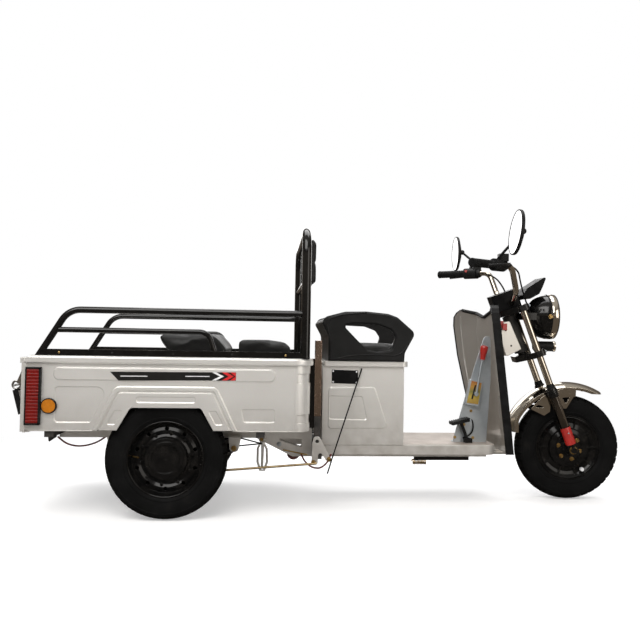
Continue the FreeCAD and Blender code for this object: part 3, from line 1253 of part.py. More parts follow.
def fender_section():
    """Arched crown with side skirts, standing at the fender's front tip."""
    turn = math.radians(FENDER_TIP_ANGLE)
    outward = at(math.cos(turn), 0, math.sin(turn))
    tip = fender_spot(FENDER_TIP_ANGLE, FENDER_R)
    half = FENDER_HALF_W
    skirt = FENDER_SKIRT
    wall = FENDER_T
    shoulder = FENDER_SHOULDER

    def spot(depth, y):
        return tip - outward * depth + at(0, y, 0)

    edges = [
        Part.LineSegment(spot(skirt, -half), spot(shoulder, -half)).toShape(),
        Part.Arc(spot(shoulder, -half), spot(0, 0), spot(shoulder, half)).toShape(),
        Part.LineSegment(spot(shoulder, half), spot(skirt, half)).toShape(),
        Part.LineSegment(spot(skirt, half), spot(skirt, half - wall)).toShape(),
        Part.LineSegment(spot(skirt, half - wall), spot(shoulder, half - wall)).toShape(),
        Part.Arc(spot(shoulder, half - wall), spot(wall, 0), spot(shoulder, wall - half)).toShape(),
        Part.LineSegment(spot(shoulder, wall - half), spot(skirt, wall - half)).toShape(),
        Part.LineSegment(spot(skirt, wall - half), spot(skirt, -half)).toShape(),
    ]
    return Part.Wire(edges)


def wheel_corner(dx, dz, radius):
    """Side-view outline row placed from the front wheel's centre."""
    return (WHEELBASE + dx, TYRE_R + dz, radius)


def fender_stays():
    """Two open triangular plates on the left skirt, each with a three-cornered window."""
    rear = [wheel_corner(-159, 153, 5), wheel_corner(-112, 202, 4), wheel_corner(-78, 204, 4),
            wheel_corner(-82, 144, 5), wheel_corner(-105, 128, 5)]
    rear_window = [wheel_corner(-145, 160, 3), wheel_corner(-127, 170, 3), wheel_corner(-92, 157, 3)]
    front = [wheel_corner(-50, 202, 4), wheel_corner(15, 212, 4), wheel_corner(-18, 157, 5),
             wheel_corner(-30, 157, 5)]
    front_window = [wheel_corner(-36, 199, 3), wheel_corner(-5, 203, 3), wheel_corner(-22, 176, 3)]
    inner_y = FENDER_HALF_W
    stays = []
    for corners, window in ((rear, rear_window), (front, front_window)):
        plate = side_slab(corners, inner_y, inner_y + STAY_T)
        stays.append(plate.cut(side_slab(window, inner_y - 1, inner_y + STAY_T + 1)))
    bridge = side_slab([wheel_corner(-112, 202, 0), wheel_corner(-20, 240, 0), wheel_corner(20, 238, 0),
                        wheel_corner(18, 204, 0), wheel_corner(-78, 196, 0)],
                       inner_y - FENDER_T + 1, inner_y + STAY_T)
    return joined(stays + [bridge])


def build_fender():
    """Swept chrome mudguard with a raked tip, a tail that follows the tyre, and side stays."""
    shell = fender_path().makePipeShell([fender_section()], True, False)
    tip = FENDER_TIP_ANGLE
    reach = FENDER_HALF_W + 5
    rake = [fender_spot(tip - 3, FENDER_R - 3), fender_spot(tip - 8, FENDER_R - 50),
            fender_spot(tip + 10, FENDER_R - 50), fender_spot(tip + 10, FENDER_R - FENDER_SKIRT - 1)]
    raked = side_slab([(point.x, point.z, 0) for point in rake], -reach, reach)
    tyre_room = rod(at(WHEELBASE, -reach, TYRE_R), at(WHEELBASE, reach, TYRE_R),
                    FENDER_R - FENDER_SKIRT + 4)
    tail_part = block(WHEELBASE - FENDER_R - 20, WHEELBASE - FENDER_R / 2, -reach, reach,
                      TYRE_R - 20, TYRE_R + 60)
    shell = shell.cut([raked, tyre_room.common(tail_part)])
    stays = fender_stays()
    store("front_fender", steered(joined([shell, stays, mirrored(stays)])))


def build_headlamp():
    """Round lamp bowl with its ring and side ears, the lens, and the small marker lamp below."""
    middle = fork_point(LAMP_U, 0, LAMP_W)
    lamp_x = middle.x
    lamp_z = middle.z
    bowl = Part.makeSphere(LAMP_R, middle, X_AXIS)
    reach = LAMP_R + 5
    behind = block(lamp_x - LAMP_R, lamp_x, -reach, reach, lamp_z - reach, lamp_z + reach)
    shell = bowl.common(behind)
    ring = rod(middle, middle + at(LAMP_RING_L, 0, 0), LAMP_R)
    glass_back = 8
    glass_front = LAMP_RING_L + 4
    glass_r = LAMP_R - LAMP_RING_T
    glass_room = rod(middle + at(glass_back, 0, 0), middle + at(glass_front, 0, 0), glass_r)
    leg_x = fork_point(LEG_U, 0, (lamp_z - STEER_BASE.z - LEG_U * SIN_C) / COS_C).x
    ears = [side_block(sign, leg_x, lamp_x - 35, LEG_Y - 18, LEG_Y - 10, lamp_z - 14, lamp_z + 14)
            for sign in (-1, 1)]
    shell = joined([shell, ring] + ears)
    shell = shell.cut([glass_room, in_fork(fork_legs(TUBE_R))])
    store("headlamp_shell", steered(shell))
    nose_z = lamp_z - LAMP_R - 30
    nose = rod(at(lamp_x - 50, 0, nose_z), at(lamp_x + 34, 0, nose_z), 20)
    store("marker_lamp", steered(nose.cut(in_fork(triple_clamps()))))
    lens = rod(middle + at(glass_back + SEAT_GAP, 0, 0), middle + at(glass_front, 0, 0), glass_r - SEAT_GAP)
    dome_r = 150
    dome = Part.makeSphere(dome_r, middle + at(LAMP_RING_L + 14 - dome_r, 0, 0))
    store("headlamp_lens", steered(lens.common(dome)))


def pod_block():
    rear_u = -50
    front_u = 56
    half = 45
    return plan_slab([(rear_u, -half, 14), (front_u, -half, 14), (front_u, half, 14), (rear_u, half, 14)],
                     HEAD_TOP_W, HEAD_TOP_W + 66)


# Fly screen seen from the side in fork axes: u, rise over the upper clamp, corner radius
SCREEN_ROWS = ((62, 29, 8), (90, 52, 10), (181, 73, 5), (152, 39, 8), (129, 16, 10), (86, 9, 10))


def build_pod():
    pod = pod_block()
    store("instrument_pod", steered(in_fork(pod)))
    rows = [(u, HEAD_TOP_W + rise, radius) for u, rise, radius in SCREEN_ROWS]
    screen = side_slab(rows, -60, 60)
    arm = block(50, 80, -12, 12, HEAD_TOP_W + 14, HEAD_TOP_W + 30)
    store("fly_screen", steered(in_fork(joined([screen, arm]).cut(pod))))


# Left half of the handlebar in fork axes: u, y, rise over the upper clamp
BAR_POINTS = ((-144, 340, 219), (29, 178, 155), (22, 150, 62), (14, 62, 18))


def bar_spot(row):
    u, y, rise = row
    return fork_point(u, y, HEAD_TOP_W + rise)


def handlebar():
    left = [bar_spot(row) for row in BAR_POINTS]
    right = [bar_spot((u, -y, rise)) for u, y, rise in reversed(BAR_POINTS)]
    bend = BAR_BEND_R
    return bent_bar(left + right, [0, bend, bend, bend, bend, bend, bend, 0], BAR_R)


def bar_point(along):
    """Point on the left grip line, along millimetres in from the bar's outer end."""
    outer = bar_spot(BAR_POINTS[0])
    run = bar_spot(BAR_POINTS[1]) - outer
    run.normalize()
    return outer + run * along


def bar_control():
    """Switch housing with the lever perch, lever and fluid cup of the left end of the bar."""
    bar = handlebar()
    body = rod(bar_point(GRIP_L + 4), bar_point(GRIP_L + 64), 23).cut(bar)
    perch = bar_point(GRIP_L + 40)
    lever_root = perch + at(38, 14, 0)
    lever_knee = bar_point(70) + at(62, 40, -6)
    lever_tip = bar_point(10) + at(44, 34, -12)
    lever = bent_bar([lever_root, lever_knee, lever_tip], [0, 60, 0], 5)
    arm = rod(perch, lever_root, 9).cut(bar)
    cup = bar_point(GRIP_L + 50) + at(8, 0, 14)
    housing = Part.makeBox(34, 34, 28, cup - at(17, 17, 0)).cut(bar)
    return joined([body, arm, lever, housing])


def build_handlebar():
    bar = handlebar()
    outer = bar_point(-2)
    pod_room = in_fork(block(-70, 70, -46, 46, UPPER_CLAMP_W, HEAD_TOP_W + 68))
    store("handlebar", steered(bar.cut(pod_room)))
    grip = rod(outer, bar_point(GRIP_L), GRIP_R).cut(bar)
    store("grips", steered(both_sides(grip)))
    store("bar_controls", steered(both_sides(bar_control())))


# Mirrors in fork axes: side, u, rise over the upper clamp, backward tilt in degrees
MIRROR_SPOTS = (
    (-1, 17.5, 263, 6.6),
    (1, -24, 284, 0.0),
)


def build_mirrors():
    """Round mirrors with domed backs on bent stalks from the switch housings."""
    bodies = []
    glasses = []
    controls = both_sides(bar_control())
    pane_t = 4
    rim_t = 6
    for side, u, rise, tilt in MIRROR_SPOTS:
        centre = fork_point(u, side * MIRROR_Y, HEAD_TOP_W + rise)
        cap_r = (MIRROR_R ** 2 + MIRROR_T ** 2) / (2 * MIRROR_T)
        dome = Part.makeSphere(cap_r, centre + at(MIRROR_T - cap_r, 0, 0))
        disc = rod(centre, centre + at(MIRROR_T + 1, 0, 0), MIRROR_R)
        rim = rod(centre + at(-rim_t, 0, 0), centre, MIRROR_R)
        pane = rod(centre + at(-rim_t, 0, 0), centre + at(pane_t - rim_t, 0, 0), MIRROR_R - 4)
        shell = joined([dome.common(disc), rim]).cut(pane)
        shell.rotate(centre, Y_AXIS, tilt)
        pane.rotate(centre, Y_AXIS, tilt)
        inner = bar_point(GRIP_L + 28)
        foot = at(inner.x, side * inner.y, inner.z + 20)
        knee = at(foot.x + 20, side * (abs(foot.y) + 40), centre.z - 45)
        back = centre + at(MIRROR_T + 4, -side * 10, 6)
        stalk = bent_bar([foot, knee, back], [0, 20, 0], 5)
        boss = Part.makeSphere(11, back)
        bodies.append(joined([shell, boss, stalk]).cut(controls))
        glasses.append(pane)
    store("mirrors", steered(Part.makeCompound(bodies)))
    store("mirror_glasses", steered(Part.makeCompound(glasses)))


def main():
    build_rear_wheels()
    build_drive_axle()
    build_leaf_springs()
    build_spring_hangers()
    build_frame()
    build_tub()
    build_rails()
    build_back_cushion()
    build_bench()
    build_lamps_on_tub()
    build_tailgate()
    build_footboard()
    build_seat_box()
    build_seat()
    build_seat_posts()
    build_shield()
    build_headstock()
    build_controls()
    build_brake_rods()
    build_leads()
    build_triple_clamps()
    build_fork()
    build_front_wheel()
    build_fender()
    build_headlamp()
    build_pod()
    build_handlebar()
    build_mirrors()


main()
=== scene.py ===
"""Looks of the electric cargo tricycle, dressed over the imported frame."""

import json
import math

import bmesh
import bpy
from mathutils import Matrix, Vector


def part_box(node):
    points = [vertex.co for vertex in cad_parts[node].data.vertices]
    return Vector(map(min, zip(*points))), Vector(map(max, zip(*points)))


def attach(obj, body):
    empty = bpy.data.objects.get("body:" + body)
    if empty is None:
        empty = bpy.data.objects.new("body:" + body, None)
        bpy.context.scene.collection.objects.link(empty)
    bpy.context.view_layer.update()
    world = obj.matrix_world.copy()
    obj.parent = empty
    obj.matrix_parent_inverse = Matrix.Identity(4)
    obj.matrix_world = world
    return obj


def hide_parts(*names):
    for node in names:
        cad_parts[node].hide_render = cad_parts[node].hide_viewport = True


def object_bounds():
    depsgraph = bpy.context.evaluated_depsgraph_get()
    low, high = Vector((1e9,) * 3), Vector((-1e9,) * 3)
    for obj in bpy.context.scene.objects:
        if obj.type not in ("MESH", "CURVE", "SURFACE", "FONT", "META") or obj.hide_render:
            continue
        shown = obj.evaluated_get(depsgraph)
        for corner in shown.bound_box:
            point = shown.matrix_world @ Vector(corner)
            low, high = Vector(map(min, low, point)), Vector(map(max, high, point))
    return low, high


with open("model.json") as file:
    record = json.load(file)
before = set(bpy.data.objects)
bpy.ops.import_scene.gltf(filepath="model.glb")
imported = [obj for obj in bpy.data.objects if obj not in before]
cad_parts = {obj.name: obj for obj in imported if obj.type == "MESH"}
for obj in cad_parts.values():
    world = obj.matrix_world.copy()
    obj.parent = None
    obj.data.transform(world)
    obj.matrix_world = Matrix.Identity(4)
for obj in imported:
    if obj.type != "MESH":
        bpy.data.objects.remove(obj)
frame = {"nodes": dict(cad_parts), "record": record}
CAD_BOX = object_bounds()
NODES = frame["nodes"]
SCENE = bpy.context.scene
ORIGIN_AHEAD_OF_AXLE = 0.620
WELD = 1e-6
MATERIALS = {}
BOTH = (-1, 1)

# Camera: place, aim and lens worked out from the photograph
CAMERA_PLACE = (0.34042 - ORIGIN_AHEAD_OF_AXLE, -2.75259, 0.61391)
CAMERA_YAW = 0.08771
CAMERA_PITCH = 0.03461
CAMERA_ROLL = 0.01638
FOCAL_PIXELS = 706.87
CENTRE_PIXEL = (332.376, 315.585)
IMAGE_PIXELS = 640.0
SENSOR_MM = 36.0


def linked(name, data):
    """New object in the scene."""
    made = bpy.data.objects.new(name, data)
    SCENE.collection.objects.link(made)
    return made


def build_camera():
    data = bpy.data.cameras.new("Camera")
    camera = linked("Camera", data)
    data.sensor_width = SENSOR_MM
    data.lens = SENSOR_MM * FOCAL_PIXELS / IMAGE_PIXELS
    data.shift_x = (IMAGE_PIXELS / 2 - CENTRE_PIXEL[0]) / IMAGE_PIXELS
    data.shift_y = (CENTRE_PIXEL[1] - IMAGE_PIXELS / 2) / IMAGE_PIXELS
    forward = Vector((math.sin(CAMERA_YAW) * math.cos(CAMERA_PITCH),
                      math.cos(CAMERA_YAW) * math.cos(CAMERA_PITCH), math.sin(CAMERA_PITCH)))
    level = Vector((math.cos(CAMERA_YAW), -math.sin(CAMERA_YAW), 0))
    above = level.cross(forward)
    right = level * math.cos(CAMERA_ROLL) + above * math.sin(CAMERA_ROLL)
    up = above * math.cos(CAMERA_ROLL) - level * math.sin(CAMERA_ROLL)
    camera.matrix_world = Matrix((
        (right.x, up.x, -forward.x, CAMERA_PLACE[0]),
        (right.y, up.y, -forward.y, CAMERA_PLACE[1]),
        (right.z, up.z, -forward.z, CAMERA_PLACE[2]),
        (0, 0, 0, 1)))
    SCENE.camera = camera


class Graph:
    """Helpers that add linked nodes to a tree."""

    def __init__(self, tree):
        self.tree = tree

    def node(self, kind, **inputs):
        """Shader node with its inputs fed by name, where underscores stand for spaces."""
        made = self.tree.nodes.new("ShaderNode" + kind)
        for socket, value in inputs.items():
            self.feed(made, socket.replace("_", " "), value)
        return made

    def feed(self, made, socket, value):
        """Link the input to another socket, or set its own value."""
        if isinstance(value, bpy.types.NodeSocket):
            self.tree.links.new(value, made.inputs[socket])
        else:
            made.inputs[socket].default_value = value

    def maths(self, operation, one, other):
        made = self.node("Math")
        made.operation = operation
        self.feed(made, 0, one)
        self.feed(made, 1, other)
        return made.outputs[0]

    def steps(self, value, stops):
        """Colour ramp with rows of place and colour."""
        made = self.node("ValToRGB", Fac=value)
        ramp = made.color_ramp
        while len(ramp.elements) < len(stops):
            ramp.elements.new(0.5)
        for element, (place, colour) in zip(ramp.elements, stops):
            element.position = place
            element.color = (*colour, 1.0)
        return made.outputs["Color"]

    def light(self, kind, colour, strength=None):
        """Output of a background, emission or diffuse shader."""
        made = self.node(kind, Color=(*colour, 1.0))
        if strength is not None:
            self.feed(made, "Strength", strength)
        return made.outputs[0]

    def merged(self, factor, one, other):
        """Mix of two shaders."""
        made = self.node("MixShader")
        for index, value in enumerate((factor, one, other)):
            self.feed(made, index, value)
        return made.outputs[0]


class Recipe(Graph):
    """One procedural material, kept in MATERIALS: a principled shader with helpers that feed it."""

    def __init__(self, name, **sockets):
        material = bpy.data.materials.new(name)
        material.use_nodes = True
        MATERIALS[name] = material
        super().__init__(material.node_tree)
        self.shader = self.tree.nodes["Principled BSDF"]
        for socket, value in sockets.items():
            self.shader.inputs[socket.replace("_", " ")].default_value = value
        self.place = self.node("TexCoord").outputs["Object"]

    def noise(self, scale, detail=3.0, stretch=None):
        place = self.place
        if stretch is not None:
            mapping = self.node("Mapping", Vector=place, Scale=stretch)
            place = mapping.outputs["Vector"]
        made = self.node("TexNoise", Vector=place, Scale=scale, Detail=detail)
        return made.outputs["Fac"]

    def cells(self, scale, output="Distance"):
        made = self.node("TexVoronoi", Vector=self.place, Scale=scale)
        return made.outputs[output]

    def along(self, axis):
        """Coordinate along the X, Y or Z axis at rest, in metres."""
        return self.node("SeparateXYZ", Vector=self.place).outputs[axis]

    def scaled(self, value, low, high):
        """Map low to high of value onto 0 to 1."""
        made = self.node("MapRange", Value=value, From_Min=low, From_Max=high)
        return made.outputs["Result"]

    def blend(self, factor, one, other):
        """Mix of two colours, each a socket or three numbers."""
        made = self.node("Mix")
        made.data_type = "RGBA"
        self.feed(made, 0, factor)
        for index, value in ((6, one), (7, other)):
            if isinstance(value, tuple):
                value = (*value, 1.0)
            self.feed(made, index, value)
        return made.outputs[2]

    def patches(self, value, dark, light, places=(0.3, 0.8)):
        """Mottle that turns from dark to light between two levels of a noise."""
        return self.steps(value, list(zip(places, (dark, light))))

    def colour(self, value):
        self.feed(self.shader, "Base Color", value)

    def roughness(self, value, low, high):
        made = self.node("MapRange", Value=value, To_Min=low, To_Max=high)
        self.feed(self.shader, "Roughness", made.outputs["Result"])

    def relief(self, *layers, edge=0.0):
        """Bump layers of height, strength and distance over softened edges."""
        normal = None
        if edge:
            bevel = self.node("Bevel", Radius=edge)
            bevel.samples = 6
            normal = bevel.outputs["Normal"]
        for value, strength, distance in layers:
            bump = self.node("Bump", Height=value, Strength=strength, Distance=distance)
            if normal is not None:
                self.feed(bump, "Normal", normal)
            normal = bump.outputs["Normal"]
        self.feed(self.shader, "Normal", normal)


def grey(value):
    return (value, value, value)


def silver_paint(name, metallic, dark, light):
    """Metallic lacquer with fine flakes, and painted shade that darkens and browns it lower down."""
    made = Recipe(name, Metallic=metallic, Coat_Weight=0.6, Coat_Roughness=0.08)
    plain = made.patches(made.noise(3.5), dark, light, (0.3, 0.7))
    flaked = made.blend(0.07, plain, made.cells(1400, "Color"))
    # Painted shade: mottled patches turn the paint darker and browner towards the bottom
    low_shade = made.maths("MULTIPLY", made.scaled(made.along("Z"), 0.42, 0.16), made.noise(22, 6))
    made.colour(made.blend(low_shade, flaked, (0.30, 0.265, 0.225)))
    made.roughness(made.noise(9, 5), 0.24, 0.38)
    made.relief((made.noise(60, 2), 0.03, 0.002), edge=0.0025)


def underbody_steel():
    made = Recipe("dark_steel")
    made.colour(made.steps(made.noise(28, 8), [
        (0.35, (0.012, 0.011, 0.010)), (0.62, (0.035, 0.030, 0.026)), (0.8, (0.09, 0.072, 0.055))]))
    made.roughness(made.noise(18, 4), 0.45, 0.8)
    made.relief((made.noise(300, 4), 0.25, 0.001), edge=0.002)


def tyre_rubber():
    made = Recipe("tyre", Specular_IOR_Level=0.08)
    made.colour(made.steps(made.noise(16, 6), [
        (0.3, grey(0.003)), (0.62, grey(0.005)), (0.85, (0.011, 0.0098, 0.0088))]))
    made.roughness(made.noise(40, 4), 0.55, 0.8)
    made.relief((made.noise(650, 3), 0.2, 0.0006), edge=0.0012)


def moulded_plastic():
    made = Recipe("black_plastic", Specular_IOR_Level=0.18)
    made.colour(made.patches(made.noise(14, 4), grey(0.007), grey(0.013)))
    made.roughness(made.noise(30, 3), 0.36, 0.52)
    made.relief((made.cells(900), 0.12, 0.0004), (made.noise(8, 2), 0.05, 0.004), edge=0.002)


def vinyl():
    made = Recipe("black_vinyl", Specular_IOR_Level=0.3, Sheen_Weight=0.04)
    made.colour(made.patches(made.noise(20, 5), grey(0.005), grey(0.011)))
    made.roughness(made.noise(45, 4), 0.38, 0.55)
    made.relief((made.cells(420), 0.22, 0.0006), (made.noise(14, 3), 0.15, 0.006))


def lens(name, deep, bright):
    made = Recipe(name, Specular_IOR_Level=0.25, Coat_Weight=0.08, Coat_Roughness=0.1)
    made.colour(made.patches(made.cells(300), deep, bright, (0.0, 0.6)))
    made.roughness(made.noise(50, 3), 0.22, 0.38)
    made.relief((made.cells(260), 0.15, 0.0006), edge=0.001)


def step_plate():
    """Warm worn tread plate with small raised dots."""
    made = Recipe("step_plate", Metallic=0.35, Specular_IOR_Level=0.4)
    made.colour(made.patches(made.noise(14, 6), (0.30, 0.25, 0.215), (0.44, 0.385, 0.34), (0.3, 0.75)))
    made.roughness(made.noise(50, 4), 0.34, 0.55)
    made.relief((made.cells(160), 0.3, 0.0008))


def gate_label():
    """Orange plate that turns yellow and green lower down, without marks."""
    made = Recipe("label", Coat_Weight=0.3)
    bands = made.steps(made.scaled(made.along("Z"), 0.378, 0.468), [
        (0.0, (0.28, 0.15, 0.02)), (0.35, (0.42, 0.30, 0.03)), (0.55, (0.16, 0.15, 0.03)),
        (0.75, (0.42, 0.20, 0.02)), (1.0, (0.30, 0.08, 0.015))])
    made.colour(made.blend(made.maths("MULTIPLY", 0.35, made.noise(160, 5)), bands, (0.16, 0.12, 0.05)))
    made.roughness(made.noise(60, 3), 0.3, 0.5)


def rod_steel():
    """Yellow-plated rod ahead of the axle, black bar further forward."""
    made = Recipe("rod_steel", Metallic=0.9)
    ahead = made.scaled(made.along("X"), 0.10, 0.11)
    worn = made.patches(made.noise(60, 6), (0.34, 0.24, 0.12), (0.60, 0.47, 0.27))
    made.colour(made.blend(ahead, worn, (0.012, 0.011, 0.010)))
    made.roughness(made.noise(70, 4), 0.25, 0.5)


def finish(name, mottle, wear, bump=None, edge=0.0, **sockets):
    """Plain finish: mottle of a noise with two colours, wear and bump of a noise with two numbers."""
    made = Recipe(name, **sockets)
    noise, *colours = mottle
    made.colour(made.patches(made.noise(*noise), *colours))
    noise, low, high = wear
    made.roughness(made.noise(*noise), low, high)
    if bump is not None:
        noise, strength, distance = bump
        made.relief((made.noise(*noise), strength, distance), edge=edge)


def build_materials():
    """Every procedural material; plated and printed ones differ in their colours alone."""
    silver_paint("silver_paint", 0.55, (0.77, 0.755, 0.72), (0.84, 0.825, 0.79))
    # A darker copy of the silver paint: painted shade on the leg shield and headstock
    silver_paint("shaded_silver", 0.8, (0.58, 0.56, 0.525), (0.68, 0.66, 0.625))
    lens("red_lens", (0.05, 0.0015, 0.001), (0.17, 0.004, 0.002))
    lens("amber_lens", (0.20, 0.055, 0.003), (0.46, 0.15, 0.006))
    for special in (underbody_steel, tyre_rubber, moulded_plastic, vinyl, step_plate, gate_label, rod_steel):
        special()
    for name, dark, light in (("chrome", (0.62, 0.56, 0.47), (0.78, 0.73, 0.65)),
                              # The second, darker chrome is painted dark reflection, used on the fork's
                              # plated legs
                              ("shaded_chrome", (0.14, 0.125, 0.11), (0.26, 0.235, 0.21))):
        finish(name, ((12, 3), dark, light), ((35, 5), 0.05, 0.13), ((20, 2), 0.02, 0.003), 0.0012,
               Metallic=1.0)
    for name, dark, light, low, high in (
            ("red_plastic", (0.27, 0.010, 0.007), (0.42, 0.018, 0.012), 0.25, 0.42),
            ("white_print", grey(0.62), grey(0.74), 0.25, 0.42),
            ("black_print", grey(0.004), grey(0.009), 0.25, 0.42),
            ("red_print", (0.46, 0.01, 0.012), (0.60, 0.02, 0.02), 0.25, 0.42),
            ("brown_rubber", (0.05, 0.010, 0.006), (0.12, 0.022, 0.012), 0.4, 0.6)):
        finish(name, ((45, 5), dark, light), ((70, 4), low, high), ((300, 3), 0.06, 0.0005),
               Coat_Weight=0.2, Coat_Roughness=0.1)
    finish("black_paint", ((40, 5), grey(0.003), (0.007, 0.0065, 0.006), (0.35, 0.75)),
           ((25, 4), 0.10, 0.24), ((140, 2), 0.05, 0.001), 0.0012,
           Specular_IOR_Level=0.3, Coat_Weight=0.3, Coat_Roughness=0.05)
    finish("black_rim", ((30, 5), grey(0.0035), (0.011, 0.010, 0.009), (0.4, 0.8)),
           ((35, 4), 0.08, 0.22), ((220, 3), 0.04, 0.001), 0.002,
           Specular_IOR_Level=0.18, Coat_Weight=0.15, Coat_Roughness=0.08)
    finish("black_rubber", ((40, 4), grey(0.005), grey(0.012)), ((60, 3), 0.42, 0.62),
           ((900, 2), 0.2, 0.0004), 0.0012, Specular_IOR_Level=0.12)
    finish("dull_black", ((30, 4), grey(0.004), grey(0.009)), ((40, 3), 0.3, 0.5),
           ((300, 3), 0.06, 0.0005), 0.0015, Specular_IOR_Level=0.06)
    finish("polished", ((25, 4), grey(0.50), (0.62, 0.61, 0.59)), ((120, 3, (1, 1, 12)), 0.16, 0.32),
           ((400, 2, (1, 1, 0.1)), 0.05, 0.0005), 0.0015, Metallic=1.0)
    # Brown mottle stretched up and down the tube: painted brown reflection streaks on the chrome sleeves of
    # the seat posts
    finish("chrome_painted_reflection", ((30, 4, (1, 1, 0.1)), (0.34, 0.25, 0.20), (0.60, 0.47, 0.39)),
           ((60, 4), 0.16, 0.34), ((60, 2, (6, 6, 0.3)), 0.12, 0.002), 0.003, Metallic=1.0)
    finish("grey_steel", ((18, 6), (0.40, 0.44, 0.47), (0.56, 0.60, 0.63)), ((40, 5), 0.3, 0.5),
           ((350, 4), 0.08, 0.0006), 0.0015, Metallic=0.75)
    finish("brass", ((60, 5), (0.42, 0.27, 0.10), (0.66, 0.47, 0.20)), ((80, 4), 0.22, 0.45),
           ((500, 3), 0.1, 0.0004), Metallic=1.0)
    finish("red_lead", ((60, 4), (0.09, 0.008, 0.006), (0.17, 0.014, 0.010)), ((60, 3), 0.35, 0.6),
           ((500, 2), 0.1, 0.0004))
    finish("lamp_glass", ((6, 2), (0.93, 0.95, 0.96), grey(0.97)), ((40, 2), 0.02, 0.08),
           ((90, 1, (1, 4, 1)), 0.12, 0.002), IOR=1.46, Transmission_Weight=0.92)
    finish("mirror", ((8, 2), grey(0.86), grey(0.92)), ((60, 3), 0.01, 0.04), Metallic=1.0)


# Nodes whose look differs from the plain finish of their slot; the leg shield and headstock get a darker
# copy of the silver paint as painted shade
NODE_LOOKS = {
    "fork_sliders": "black_paint", "headlamp_shell": "black_paint", "marker_lamp": "black_plastic",
    "frame_cross_members": "dark_steel", "spring_hangers": "silver_paint", "brake_rods": "rod_steel",
    "tailgate_latches": "polished", "pivot_brackets": "silver_paint", "leg_shield": "shaded_silver",
    "headstock": "shaded_silver", "fly_screen": "dull_black", "instrument_pod": "dull_black",
}


def dress_nodes():
    """Give every CAD node its procedural material."""
    for row in frame["record"]["subparts"]:
        node = NODES[row["node"]]
        node.data.materials.clear()
        node.data.materials.append(MATERIALS[NODE_LOOKS.get(row["node"], row["material_slot"])])


def mm(x, y, z):
    """Point given in millimetres from the ground under the rear axle."""
    return Vector((x / 1000 - ORIGIN_AHEAD_OF_AXLE, y / 1000, z / 1000))


def sideways(y):
    return Vector((0, y, 0))


# Fork axes: u forward, y left, w up the steering axis, turned to where the fork is parked
CASTER = math.radians(20.56)
STEER_BASE = mm(1488.548, 0, 190.952)
STEER_AXIS = Vector((-math.sin(CASTER), 0, math.cos(CASTER)))
STEER_LEVEL = Vector((math.cos(CASTER), 0, math.sin(CASTER)))
STEER_TURN = Matrix.Rotation(math.radians(-4.45), 3, STEER_AXIS)
LEG_U = 43.0
LEG_Y = 76.0
CLAMP_TOP_W = 597.0


def fork(u, y, w):
    """Point of the parked fork, in millimetres of its own axes."""
    return STEER_BASE + STEER_TURN @ (STEER_LEVEL * u + sideways(y) + STEER_AXIS * w) * 0.001


def turned(direction):
    return STEER_TURN @ Vector(direction)


def turns(count):
    return [2 * math.pi * index / count for index in range(count)]


def square_to(axis):
    """The axis and two directions square to it, all of length one."""
    axis = axis.normalized()
    side = axis.orthogonal().normalized()
    return axis, side, axis.cross(side)


def swung(side, up, turn):
    """Direction at an angle from side towards up."""
    return side * math.cos(turn) + up * math.sin(turn)


class Form:
    """Collects closed solids into one mesh."""

    def __init__(self):
        self.points = []
        self.faces = []

    def rings(self, loops, closed=False):
        """Skin over loops of equally many points; closed joins the last loop to the first."""
        start = len(self.points)
        count = len(loops[0])
        for loop in loops:
            self.points.extend(loop)
        spans = len(loops) if closed else len(loops) - 1
        for row in range(spans):
            near = start + row * count
            far = start + (row + 1) % len(loops) * count
            for index in range(count):
                follower = (index + 1) % count
                self.faces.append((near + index, near + follower, far + follower, far + index))
        if not closed:
            last = start + (len(loops) - 1) * count
            self.faces.append(tuple(start + index for index in reversed(range(count))))
            self.faces.append(tuple(last + index for index in range(count)))
        return self

    def prism(self, outline, offset):
        return self.rings([outline, [point + offset for point in outline]])

    def box(self, low, high):
        x0, y0, z0 = low
        x1, y1, z1 = high
        base = [Vector((x, y, z0)) for x, y in ((x0, y0), (x1, y0), (x1, y1), (x0, y1))]
        return self.prism(base, Vector((0, 0, z1 - z0)))

    def tube(self, path, radius, sides=10, closed=False):
        """Round bar; radius is one number or one for each point of the path."""
        radii = radius if isinstance(radius, (list, tuple)) else [radius] * len(path)
        side = None
        loops = []
        for index, point in enumerate(path):
            before = path[index - 1] if index or closed else point
            after = path[(index + 1) % len(path)] if index + 1 < len(path) or closed else point
            along = (after - before).normalized()
            side = along.orthogonal() if side is None else side - along * side.dot(along)
            side.normalize()
            up = along.cross(side)
            loops.append([point + swung(side, up, turn) * radii[index] for turn in turns(sides)])
        return self.rings(loops, closed=closed)

    def lathe(self, centre, axis, profile, sides=32):
        """Turn a closed profile of (radius, distance along the axis) rows in millimetres."""
        axis, side, up = square_to(axis)
        loops = []
        for turn in turns(sides):
            outward = swung(side, up, turn)
            loops.append([centre + outward * (radius / 1000) + axis * (along / 1000)
                          for radius, along in profile])
        return self.rings(loops, closed=True)

    def bolt(self, place, axis, radius, height, washer=True):
        """Hexagon head with a chamfer on a washer; radius and height in millimetres."""
        low = 0.0
        if washer:
            low = height * 0.25
            self.lathe(place, axis, [(0, 0), (radius * 1.45, 0), (radius * 1.45, low), (0, low)], 20)
        return self.lathe(place, axis, [(0, low), (radius, low), (radius, height * 0.85),
                                        (radius * 0.85, height), (0, height)], 6)

    def dome(self, place, axis, radius, height):
        """Round head of a screw or rivet."""
        return self.lathe(place, axis, [(0, 0), (radius, 0), (radius * 0.86, height * 0.5),
                                        (radius * 0.5, height * 0.87), (0, height)], 16)


def forms(count):
    return [Form() for number in range(count)]


def circle(centre, axis, radius, count):
    """Points round a circle; radius in millimetres."""
    axis, side, up = square_to(axis)
    return [centre + swung(side, up, turn) * (radius / 1000) for turn in turns(count)]


BEND_STEPS = 6


